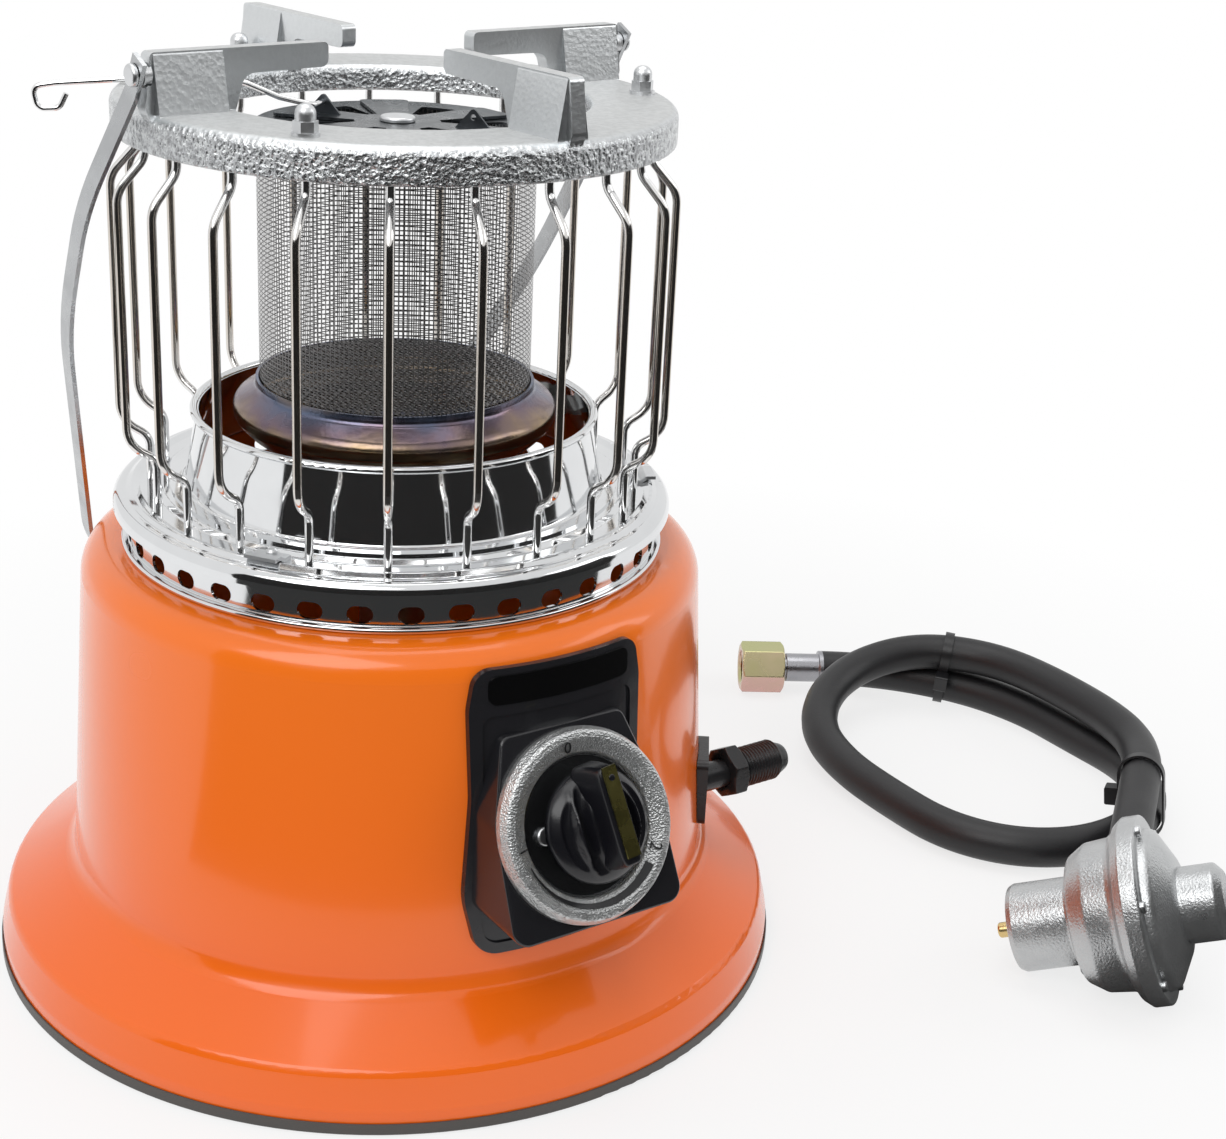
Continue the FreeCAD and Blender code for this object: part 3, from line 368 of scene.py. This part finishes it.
# %% [markdown]
# The regulator is die cast in zinc: a grey metal, matt, with a faint skin from
# the mould. The dial's ring is a sandy silver round a dish whose shade is
# painted in as dark grey, so its recipe measures how far a point lies from the
# dial's middle. The union nut is steel with yellow passivation, whose thin film
# shows pink on one side and green-gold on another.

# %% Die casting, the dial's silver and yellow zinc
FACE_TILT = math.radians(25.0)
DIAL_AT = Vector((0.0, -0.1315, 0.0985))
DISH_R = 0.0235
DISH_EDGE = 0.0012


def die_cast(w):
    where = place(w)
    mottle = noise(w, where, 70.0, 5.0, 0.65)
    skin = noise(w, where, 1100.0, 2.0)
    return {"Base Color": mix(w, mottle, colour(0.40, 0.41, 0.42), colour(0.66, 0.67, 0.67)),
            "Metallic": 0.9, "Roughness": spread(w, mottle, 0.26, 0.42),
            "Normal": bump(w, skin, 0.00020)}


def sandy_silver(w):
    where = place(w)
    sand = cells(w, where, 1500.0)
    cloud = noise(w, where, 160.0, 4.0, 0.6)
    from_centre = w.add("ShaderNodeVectorMath", {"operation": "DISTANCE"},
                        {0: where, 1: DIAL_AT}, out=1)
    # Painted shade: inside the dish the colour is dark grey for the shade that falls there, and
    # the silver band lies outside it.
    clear_of_painted_shade = between(w, from_centre, DISH_R, DISH_R + DISH_EDGE)
    silver = mix(w, cloud, colour(0.50, 0.51, 0.51), colour(0.80, 0.81, 0.81))
    return {"Base Color": mix(w, clear_of_painted_shade, colour(0.085, 0.088, 0.092), silver),
            "Metallic": 0.9, "Roughness": clear_of_painted_shade * 0.16 + 0.16 + cloud * 0.08,
            "Normal": bump(w, (sand + cloud) * (clear_of_painted_shade * 0.8 + 0.2), 0.00026)}


def yellow_zinc(w):
    where = place(w)
    film = noise(w, where, 75.0, 2.0)
    side = between(w, facing_up(w) + film * 0.8, -0.2, 1.3)
    tone = mix(w, side, colour(0.66, 0.42, 0.38), colour(0.50, 0.50, 0.24))
    return {"Base Color": tone, "Metallic": 1.0, "Roughness": spread(w, film, 0.20, 0.34)}


finish("die_cast", die_cast)
finish("dial_silver", sandy_silver)
finish("yellow_zinc", yellow_zinc)
print("castings made")

# %% [markdown]
# The dark parts are six different blacks. Gloss plastic mirrors the studio,
# its inlay is darker and shinier still, the knob is satin, rubber is softer,
# the nylon ties have a dull sheen, and the foot's trim is nearly grey. A black
# that is not quite black keeps its shape in the light.

# %% Plastics and rubber
def dark(tone, rough_low, rough_high, grain, depth, coat=0.0):
    """A recipe for a dark moulded surface with a fine grain."""
    def recipe(w):
        where = place(w)
        cloud = noise(w, where, 40.0, 3.0)
        texture = noise(w, where, grain, 3.0)
        lighter = tuple(c * 1.6 for c in tone[:3]) + (1.0,)
        return {"Base Color": mix(w, cloud, tone, lighter), "Coat Weight": coat,
                "Coat Roughness": 0.05,
                "Roughness": spread(w, cloud, rough_low, rough_high),
                "Normal": bump(w, texture, depth)}
    return recipe


finish("panel_gloss", dark(colour(0.011, 0.011, 0.013), 0.20, 0.28, 700.0, 0.00003, coat=0.2))
finish("panel_inlay", dark(colour(0.0012, 0.0012, 0.0014), 0.07, 0.10, 500.0, 0.00001, coat=0.3))
finish("knob_plastic", dark(colour(0.006, 0.006, 0.008), 0.20, 0.28, 900.0, 0.00002))
finish("hose_rubber", dark(colour(0.006, 0.006, 0.007), 0.40, 0.52, 1400.0, 0.00010))
finish("tie_nylon", dark(colour(0.008, 0.008, 0.009), 0.30, 0.40, 900.0, 0.00004))
finish("black_trim", dark(colour(0.060, 0.056, 0.052), 0.38, 0.50, 700.0, 0.00006))
print("blacks made")

# %% [markdown]
# The mesh is woven from thin dark wire. Drawn as real wires it would need
# thousands, so one thin skin carries a pattern of see-through holes instead.
# Across the tube the pattern follows the angle, and on the floor it follows
# x and y. The wires go over and under each other, which the bump shows.

# %% Woven wire
WEAVE = 0.00170
WIRE_SHARE = 0.24
MESH_R = 0.0486
THREADS_ROUND = round(math.tau * MESH_R / WEAVE)


def woven(across, along):
    """A recipe for wire cloth from two directions given in threads."""
    def recipe(w):
        where = place(w)
        x, y, z = axes(w, where)
        u, v = across(w, x, y, z), along(w, x, y, z)
        u_off = w.math("PINGPONG", u, 0.5) * 2
        v_off = w.math("PINGPONG", v, 0.5) * 2
        wire_u = w.math("LESS_THAN", u_off, WIRE_SHARE)
        wire_v = w.math("LESS_THAN", v_off, WIRE_SHARE)
        covered = w.math("MAXIMUM", wire_u, wire_v)
        swing = w.math("SINE", (u + v) * math.pi)
        soot = noise(w, where, 45.0, 4.0)
        tone = mix(w, soot, colour(0.13, 0.13, 0.14), colour(0.34, 0.33, 0.32))
        return {"Base Color": tone, "Metallic": 0.9, "Roughness": between(w, soot, 0, 1, 0.3, 0.5),
                "Alpha": covered, "Normal": bump(w, swing, 0.0003, 0.6)}
    return recipe


finish("mesh_wall", woven(
    lambda w, x, y, z: w.math("ARCTAN2", y, x) * (THREADS_ROUND / math.tau),
    lambda w, x, y, z: z * (1 / WEAVE)))
finish("mesh_floor", woven(
    lambda w, x, y, z: x * (1 / WEAVE),
    lambda w, x, y, z: y * (1 / WEAVE)))
print("weave made")

# %% [markdown]
# Each CAD solid already knows which slot of the record it belongs to, so the
# finishes go on by name in one loop. Two pieces share a slot with others and
# still have a finish of their own.

# %% Dress the solids
own_finish = {"dial_ring": "dial_silver", "hose_stem": "stem_zinc"}
for part in frame["record"]["subparts"]:
    solid = nodes[part["node"]]
    name = part["material_slot"]
    if name in finishes:
        for slot in solid.material_slots:
            slot.material = finishes[own_finish.get(part["node"], name)]
print("dressed", len(nodes), "solids")

# %% [markdown]
# New pieces are made from outlines. A lathe turns an outline of radius and
# height round an axis, which suits almost everything on a round heater. Under
# it lies one function that joins rings of points into a skin.

# %% Mesh helpers
def new_piece(name, verts, faces, material, body):
    """Turn points and faces into a piece that rides on a body."""
    mesh = bpy.data.meshes.new(name)
    mesh.from_pydata(verts, [], faces)
    mesh.validate()
    for polygon in mesh.polygons:
        polygon.use_smooth = True
    mesh.materials.append(finishes[material])
    piece = bpy.data.objects.new(name, mesh)
    bpy.context.scene.collection.objects.link(piece)
    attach(piece, body)
    return piece


def basis(origin, z_axis, x_axis):
    """Matrix that carries a piece's own axes to a place and two directions."""
    z_dir = Vector(z_axis).normalized()
    x_dir = (Vector(x_axis) - z_dir * Vector(x_axis).dot(z_dir)).normalized()
    y_dir = z_dir.cross(x_dir)
    return Matrix.Translation(origin) @ Matrix((x_dir, y_dir, z_dir)).transposed().to_4x4()


def grid_faces(rows, columns, closed=True):
    """Quads of a net of points, joined round its columns."""
    faces = []
    for i in range(rows - 1):
        for j in range(columns if closed else columns - 1):
            k = (j + 1) % columns
            faces.append((i * columns + j, i * columns + k,
                          (i + 1) * columns + k, (i + 1) * columns + j))
    return faces


def ring_of(radius, height, steps):
    """Points round an axis; the radius may depend on the angle, as on a nut or a thread."""
    points = []
    for k in range(steps):
        angle = math.tau * k / steps
        r = radius(angle, height) if callable(radius) else radius
        points.append((r * math.cos(angle), r * math.sin(angle), height))
    return points


def join_rings(name, rings, seat, material, body, ends="closed"):
    """Join rings of points into a skin whose ends are closed, open or joined."""
    steps = len(rings[0])
    verts = [seat @ Vector(point) for ring in rings for point in ring]
    faces = grid_faces(len(rings), steps)
    first = tuple(range(steps))
    last = tuple((len(rings) - 1) * steps + k for k in first)
    if ends == "closed":
        faces += [first[::-1], last]
    elif ends == "joined":
        faces += [(last[k], last[(k + 1) % steps], (k + 1) % steps, k) for k in first]
    return new_piece(name, verts, faces, material, body)


def lathe(name, outline, seat, material, body, steps=96, ends="closed"):
    """Turn an outline of (radius, height) about the axis of a seat matrix."""
    rings = [ring_of(radius, height, steps) for radius, height in outline]
    return join_rings(name, rings, seat, material, body, ends)


def thread(mean, depth, pitch):
    """Radius of a screw thread at an angle and a height."""
    def radius(angle, height):
        turn = (height / pitch - angle / math.tau) % 1.0
        return mean + depth * (abs(2 * turn - 1) - 0.5)
    return radius


CORNER_SLOPE = 1.7
CORNER_START = 0.0001


def six_sided(flats, corner_cut, length):
    """Radius of a hexagon whose corners are turned away at both ends."""
    def radius(angle, height):
        side = (angle + math.pi / 6) % (math.pi / 3) - math.pi / 6
        flat = flats / 2 / math.cos(math.pi / 6 - abs(side))
        end = min(height, length - height)
        cone = flats / 2 + CORNER_START + end * CORNER_SLOPE
        return min(flat, cone) if end < corner_cut else flat
    return radius


def evenly(low, high, count):
    return [low + (high - low) * k / (count - 1) for k in range(count)]


def along_hexagon(corner_cut, length, count):
    """Heights along a hexagon, close together where its corners are turned away."""
    inside = corner_cut + CORNER_START
    return (evenly(0.0, corner_cut, count) + evenly(inside, length - inside, 3)
            + evenly(length - corner_cut, length, count))


WORLD_SEAT = Matrix.Identity(4)
print("mesh helpers ready")

# %% [markdown]
# The burner's mesh tube and its floor are single skins just inside the CAD
# solids that they stand for.

# %% Mesh tube and floor
tube_low, tube_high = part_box("burner_mesh")
wall = lathe("mesh_tube_skin", [(MESH_R, tube_low.z), (MESH_R, tube_high.z)], WORLD_SEAT,
             "mesh_wall", "heater", 144, ends="open")
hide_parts("burner_mesh")
FLOOR_HOLE_R, FLOOR_RING_R = 0.0005, 0.024
floor_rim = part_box("burner_floor")[1]
floor_outline = [(r, floor_rim.z) for r in (FLOOR_HOLE_R, FLOOR_RING_R, floor_rim.x)]
floor_skin = lathe("mesh_floor_skin", floor_outline, WORLD_SEAT, "mesh_floor",
                   "heater", ends="open")
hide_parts("burner_floor")
print("mesh tube", round(tube_high.z - tube_low.z, 4), "m tall")

# %% [markdown]
# The hose is a real length of rubber hose lying in two turns on the floor.

# %% Hose
HOSE_R = 0.0085
route = [(0.2842, 0.0743, 0.01105), (0.3035, 0.0625, 0.01105), (0.3315, 0.029, 0.0104),
         (0.3445, -0.006, 0.0094), (0.3436, -0.042, 0.0094), (0.3415, -0.0784, 0.0104),
         (0.3261, -0.1051, 0.0104), (0.2994, -0.1205, 0.0104), (0.2686, -0.1205, 0.0094),
         (0.2419, -0.1051, 0.0087), (0.2265, -0.0784, 0.0086), (0.2255, -0.045, 0.0086),
         (0.2265, -0.012, 0.0094), (0.2344, 0.0178, 0.0125), (0.2562, 0.0396, 0.018),
         (0.286, 0.0475, 0.024), (0.3158, 0.0396, 0.0282), (0.3376, 0.0178, 0.0282),
         (0.3455, -0.012, 0.0282), (0.342, -0.066, 0.0284), (0.3261, -0.0978, 0.029),
         (0.28837, -0.1275, 0.0302), (0.25054, -0.15706, 0.0302)]
hose_curve = bpy.data.curves.new("rubber_hose", "CURVE")
hose_curve.dimensions = "3D"
spline = hose_curve.splines.new("NURBS")
spline.points.add(len(route) - 1)
for point, spot in zip(spline.points, route):
    point.co = (*spot, 1.0)
spline.order_u = 3
spline.use_endpoint_u = True
hose_curve.resolution_u = 10
hose_curve.bevel_depth = HOSE_R
hose_curve.bevel_resolution = 8
hose_curve.use_fill_caps = True
hose_curve.materials.append(finishes["hose_rubber"])
hose = bpy.data.objects.new("rubber_hose", hose_curve)
bpy.context.scene.collection.objects.link(hose)
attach(hose, "heater")
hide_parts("hose")

# %% [markdown]
# The knob is one moulding: a round skirt, a tall grip fin, and on each flank a
# curved ridge that runs from end to end like the edge of a leaf. The skirt is a
# net of points over a disc whose height is a formula, so the flanks can be
# scooped, and the fin is a stack of rounded rings that get narrower upward.

# %% Knob
face_out = Vector((0, -math.cos(FACE_TILT), math.sin(FACE_TILT)))
face_up = Vector((0, math.sin(FACE_TILT), math.cos(FACE_TILT)))
KNOB_REST = math.radians(6.0)
knob_across = Vector((1, 0, 0)) * math.cos(KNOB_REST) + face_up * math.sin(KNOB_REST)
knob_seat = basis(DIAL_AT, face_out, knob_across)
KNOB_R = 0.0195
KNOB_FOOT = 0.0077
KNOB_EDGE = 0.0022
KNOB_RISE = 0.0078
KNOB_RINGS, KNOB_STEPS = 44, 144

# Each patch of a flank: its rise, how far out it lies, half its width and length.
FLANK_PATCHES = ((-0.0034, 0.0082, 0.0026, 0.0155), (-0.0020, 0.0140, 0.0022, 0.0125),
                 (0.0022, 0.0112, 0.0010, 0.0160))


def leaf(x, y, at, half_width, half_length):
    """1 in the middle of an almond-shaped patch beside the fin, 0 outside it."""
    bow = math.sqrt(max(0.0, 1 - (y / (half_length * 1.25)) ** 2))
    across = (abs(x) - at * bow) / half_width
    along = y / half_length
    return max(0.0, 1 - across * across) * max(0.0, 1 - along * along)


def knob_height(x, y):
    """Height of the skirt: a dome with scoops and a ridge on its flanks."""
    share = min(1.0, math.hypot(x, y) / KNOB_R)
    dome = KNOB_FOOT + KNOB_EDGE + KNOB_RISE * (1 - share ** 2.4) ** 0.8
    return dome + sum(rise * leaf(x, y, *patch) for rise, *patch in FLANK_PATCHES)


def knob_ring(radius):
    return [(x, y, knob_height(x, y)) for x, y, _ in ring_of(radius, 0.0, KNOB_STEPS)]


knob_rings = [knob_ring(KNOB_R * max(ring, 0.2) / KNOB_RINGS) for ring in range(KNOB_RINGS + 1)]
knob_rings.append(ring_of(KNOB_R, KNOB_FOOT, KNOB_STEPS))
knob_skirt = join_rings("knob_skirt", knob_rings, knob_seat, "knob_plastic",
                        "knob_stack")
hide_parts("knob")

# %% Grip fin and its dot
FIN_FROM, FIN_TO, FIN_TOP = -0.0150, 0.0215, 0.0262
FIN_MIDDLE, FIN_HALF = (FIN_FROM + FIN_TO) / 2, (FIN_TO - FIN_FROM) / 2
FIN_SQUARENESS = 0.35
FIN_STEPS = 64
# Each ring of the fin: its height, half its width and how far its ends draw in.
FIN_LEVELS = ((0.0085, 0.0068, 0.0), (0.0120, 0.0056, 0.0), (0.0165, 0.0046, 0.0),
              (0.0215, 0.0040, 0.0008), (0.0250, 0.0039, 0.0014), (FIN_TOP, 0.0034, 0.0022))
DOT_R, DOT_OUT = 0.0011, 0.0165


def fin_ring(level, half_width, draw):
    """A ring between an oval and a box."""
    points = []
    for x, y, z in ring_of(1.0, level, FIN_STEPS):
        points.append((half_width * math.copysign(abs(x) ** FIN_SQUARENESS, x),
                       FIN_MIDDLE + (FIN_HALF - draw) * math.copysign(abs(y) ** FIN_SQUARENESS, y),
                       z))
    return points


knob_fin = join_rings("knob_fin", [fin_ring(*level) for level in FIN_LEVELS], knob_seat,
                      "knob_plastic", "knob_stack")
knob_fin.modifiers.new("smooth", "SUBSURF").levels = 1
dot_outline = [(DOT_R, FIN_TOP + 0.0007), (DOT_R, FIN_TOP + 0.0010), (0.0008, FIN_TOP + 0.0011)]
lathe("strip_dot", dot_outline, knob_seat @ Matrix.Translation((0, DOT_OUT, 0)),
      "knob_plastic", "knob_stack", 32)
print("knob", len(knob_rings), "rings")

# %% [markdown]
# The dial's marks are plain numbers: 0 for off at the top, then 1 and 2, and a
# wedge that widens from 1 to 2. They lie on the sloping inside of the band, so
# each is tilted with the slope and turned to its own angle.

# %% Dial marks
BAND_HEIGHT = 0.0045
MARK_R = 0.0268
MARK_RAISE = 0.0004
NUMBER_SIZE, NUMBER_DEPTH = 0.0060, 0.0001
NUMBERS = (("0", 6), ("1", 95), ("2", 241))
SLOPE = math.radians(26.6)
WEDGE_FROM, WEDGE_TO, WEDGE_STEPS = 108, 228, 40
WEDGE_THIN, WEDGE_GAIN = 0.0003, 0.0011
WEDGE_RAISE = 0.00045


def dial_place(angle, radius, height):
    """A point on the dial, with the angle taken anticlockwise from the top."""
    turn = math.radians(angle)
    return (DIAL_AT + (face_up * math.cos(turn) - Vector((1, 0, 0)) * math.sin(turn)) * radius
            + face_out * height)


for number, angle in NUMBERS:
    text = bpy.data.curves.new("dial_number_" + number, "FONT")
    text.body = number
    text.size = NUMBER_SIZE
    text.extrude = NUMBER_DEPTH
    text.align_x = text.align_y = "CENTER"
    text.materials.append(finishes["black_fitting"])
    mark = bpy.data.objects.new("dial_number_" + number, text)
    outward_here = (dial_place(angle, 1.0, 0.0) - DIAL_AT).normalized()
    slope_normal = face_out * math.cos(SLOPE) - outward_here * math.sin(SLOPE)
    text_up = outward_here * math.cos(SLOPE) + face_out * math.sin(SLOPE)
    mark.matrix_world = basis(dial_place(angle, MARK_R, BAND_HEIGHT + MARK_RAISE), slope_normal,
                              text_up.cross(slope_normal))
    bpy.context.scene.collection.objects.link(mark)
    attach(mark, "heater")

wedge_verts = []
for k in range(WEDGE_STEPS + 1):
    angle = WEDGE_FROM + (WEDGE_TO - WEDGE_FROM) * k / WEDGE_STEPS
    wide = WEDGE_THIN + WEDGE_GAIN * k / WEDGE_STEPS
    for radius in (MARK_R - wide, MARK_R + wide):
        height = BAND_HEIGHT + WEDGE_RAISE + (radius - MARK_R) * math.tan(SLOPE)
        wedge_verts.append(dial_place(angle, radius, height))
new_piece("dial_wedge", wedge_verts, grid_faces(WEDGE_STEPS + 1, 2, closed=False),
          "black_fitting", "heater")
print("marks on the dial")

# %% [markdown]
# A screw thread is a radius that falls and rises once per pitch and shifts by
# one pitch per turn, so the same formula cuts the fitting's outside and the
# nut's inside. Turned corners are the mark of a real nut: where the cone that
# trims the ends meets the flats, it leaves curved edges.

# %% Inlet fitting
PITCH = 0.00141
HEX_FLATS, HEX_CUT, HEX_LEN = 0.0185, 0.0012, 0.0065
THREAD_LEN, THREAD_MEAN, THREAD_DEPTH = 0.0185, 0.0076, 0.00080
NECK_R, FLARE_BASE_R, FLARE_R, INLET_BORE_R = 0.0070, 0.0064, 0.0054, 0.0028
fit_low, fit_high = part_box("inlet_fitting")
fit_middle = (fit_low + fit_high) / 2
tip = fit_high.x - fit_low.x
fit_seat = basis((fit_low.x, fit_middle.y, fit_middle.z), (1, 0, 0), (0, 0, 1))
hexagon = six_sided(HEX_FLATS, HEX_CUT, HEX_LEN)
male = thread(THREAD_MEAN, THREAD_DEPTH, PITCH)
thread_end = HEX_LEN + THREAD_LEN
thread_from, thread_to = HEX_LEN + 0.0012, thread_end - 0.0010
stations = [(0.0058, 0.0)]
stations += [(hexagon, h) for h in along_hexagon(HEX_CUT, HEX_LEN, 5)]
stations += [(NECK_R, HEX_LEN), (NECK_R, thread_from)]
stations += [(male, h) for h in evenly(thread_from, thread_to, 100)]
stations += [(0.0066, thread_end), (FLARE_BASE_R, thread_end + 0.0012),
             (FLARE_R, tip - 0.0008), (FLARE_R - 0.0005, tip - 0.0001), (FLARE_R - 0.0008, tip),
             (INLET_BORE_R, tip), (INLET_BORE_R, HEX_LEN)]
fitting = lathe("inlet_thread", stations, fit_seat, "black_fitting", "heater",
                120, ends="open")
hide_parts("inlet_fitting")
print("inlet thread cut")

# %% Union nut
NUT_LEN, NUT_FLATS, NUT_CUT = 0.021, 0.022, 0.0016
SHOULDER_T, STEM_HOLE_R, SEAT_R = 0.006, 0.00570, 0.0085
NUT_THREAD_MEAN, NUT_THREAD_DEPTH = 0.0078, 0.0007
NUT_FACE = Vector((0.2495, 0.0955, 0.01105))
nut_back = (Vector(route[0]) - NUT_FACE).normalized()
nut_seat = basis(NUT_FACE, nut_back, nut_back.cross(Vector((0, 0, 1))))
nut_side = six_sided(NUT_FLATS, NUT_CUT, NUT_LEN)
female = thread(NUT_THREAD_MEAN, NUT_THREAD_DEPTH, PITCH)
stations = [(nut_side, h) for h in along_hexagon(NUT_CUT, NUT_LEN, 6)]
stations += [(STEM_HOLE_R, NUT_LEN), (STEM_HOLE_R, NUT_LEN - SHOULDER_T),
             (SEAT_R, NUT_LEN - SHOULDER_T), (SEAT_R, 0.0088)]
stations += [(female, h) for h in evenly(0.0086, 0.0006, 49)]
stations += [(SEAT_R + 0.0001, 0.0)]
nut = lathe("union_nut_piece", stations, nut_seat, "yellow_zinc", "union_nut",
            180, ends="joined")
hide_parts("hose_nut")
print("nut thread cut")

# %% [markdown]
# A heater photographed for a catalogue stands on a pale sweep under large soft
# lamps. The floor takes the shadow close by and turns to plain white further
# out for the camera. Chrome is only as good as what it mirrors, so a black
# flag stands on the camera's side, seen by reflections alone: it gives every
# wire a dark core between two bright edges.

# %% Floor and flag
def stage_piece(name, verts, faces):
    """A mesh of the studio, which isn't part of the heater."""
    mesh = bpy.data.meshes.new(name)
    mesh.from_pydata(verts, [], faces)
    piece = bpy.data.objects.new(name, mesh)
    material = bpy.data.materials.new(name)
    material.use_nodes = True
    mesh.materials.append(material)
    bpy.context.scene.collection.objects.link(piece)
    return piece, material.node_tree


def seen_directly(w):
    """1 for rays from the camera, a mirror or glass, 0 for the light's own rays."""
    rays = w.tree.nodes.new("ShaderNodeLightPath").outputs
    seen = Wire(w.tree, rays["Is Camera Ray"])
    for kind in ("Is Glossy Ray", "Is Transmission Ray"):
        seen = w.math("MAXIMUM", seen, Wire(w.tree, rays[kind]))
    return seen


FLOOR_HALF, FLOOR_DROP = 7.0, 0.0002
FADE_MIDDLE_X = 0.08
FADE_FROM, FADE_TO, NEAR_SHARE = 0.18, 0.50, 0.74


def paint_floor(tree):
    """Take the shadow near the heater and turn to plain white further out."""
    w = Wire(tree)
    shader = tree.nodes["Principled BSDF"]
    shader.inputs["Base Color"].default_value = colour(0.90, 0.90, 0.90)
    shader.inputs["Roughness"].default_value = 0.9
    shader.inputs["Specular IOR Level"].default_value = 0.0
    x, y = axes(w, place(w))[:2]
    away = w.math("SQRT", (x - FADE_MIDDLE_X) * (x - FADE_MIDDLE_X) + y * y)
    whiteness = between(w, away, FADE_FROM, FADE_TO, NEAR_SHARE, 1.0)
    white = w.add("ShaderNodeEmission", inputs={"Color": colour(1, 1, 1), "Strength": 1.0})
    blend = w.add("ShaderNodeMixShader", inputs={0: seen_directly(w) * whiteness,
                                                 1: Wire(tree, shader.outputs[0]), 2: white})
    tree.links.new(blend.socket, tree.nodes["Material Output"].inputs["Surface"])


corners = [(-FLOOR_HALF, -FLOOR_HALF), (FLOOR_HALF, -FLOOR_HALF),
           (FLOOR_HALF, FLOOR_HALF), (-FLOOR_HALF, FLOOR_HALF)]
floor_verts = [(x, y, -FLOOR_DROP) for x, y in corners]
paint_floor(stage_piece("pale_floor", floor_verts, [(0, 1, 2, 3)])[1])

FLAG_FROM, FLAG_TO, FLAG_STEP = -178, -28, 2
flag_outline = [(0.27, 0.001), (0.60, 0.001), (0.60, 0.46)]
flag_angles = [math.radians(a) for a in range(FLAG_FROM, FLAG_TO + 1, FLAG_STEP)]
flag_verts = [(r * math.cos(a), r * math.sin(a), height) for r, height in flag_outline
              for a in flag_angles]
flag, flag_tree = stage_piece("black_flag", flag_verts,
                              grid_faces(len(flag_outline), len(flag_angles), closed=False))
flag_shader = flag_tree.nodes["Principled BSDF"]
flag_shader.inputs["Base Color"].default_value = colour(0.02, 0.02, 0.02)
flag_shader.inputs["Roughness"].default_value = 1.0
for ray in ("camera", "diffuse", "shadow", "transmission"):
    setattr(flag, "visible_" + ray, False)
print("floor and flag ready")

# %% [markdown]
# Three square lamps light the heater: the key from the camera's left, a weak
# fill from its right and one from above. The sky is dimmer as a light than it
# looks, so the shadow on the floor stays and mirrors still show a bright room.

# %% Lamps and sky
def lamp(name, size, where, target, watts):
    light = bpy.data.lights.new(name, "AREA")
    light.shape = "SQUARE"
    light.size = size
    light.energy = watts
    holder = bpy.data.objects.new(name, light)
    facing = Vector(where) - Vector(target)
    holder.matrix_world = basis(where, facing, (0.2, 1, 0.1))
    bpy.context.scene.collection.objects.link(holder)


lamp("key_lamp", 1.3, (-1.2, -0.7, 1.5), (0, 0, 0.15), 15.0)
lamp("fill_lamp", 1.0, (1.5, -0.9, 1.0), (0.05, 0, 0.15), 5.0)
lamp("top_lamp", 1.3, (0.1, 0.3, 1.9), (0.05, 0, 0.1), 9.0)

WORLD_LIGHT, WORLD_SEEN = 0.42, 0.9
world = bpy.data.worlds.new("studio")
world.use_nodes = True
sky = Wire(world.node_tree)
strength = seen_directly(sky) * (WORLD_SEEN - WORLD_LIGHT) + WORLD_LIGHT
background = world.node_tree.nodes["Background"]
background.inputs["Color"].default_value = colour(1, 1, 1)
world.node_tree.links.new(strength.socket, background.inputs["Strength"])
bpy.context.scene.world = world
print("studio ready")
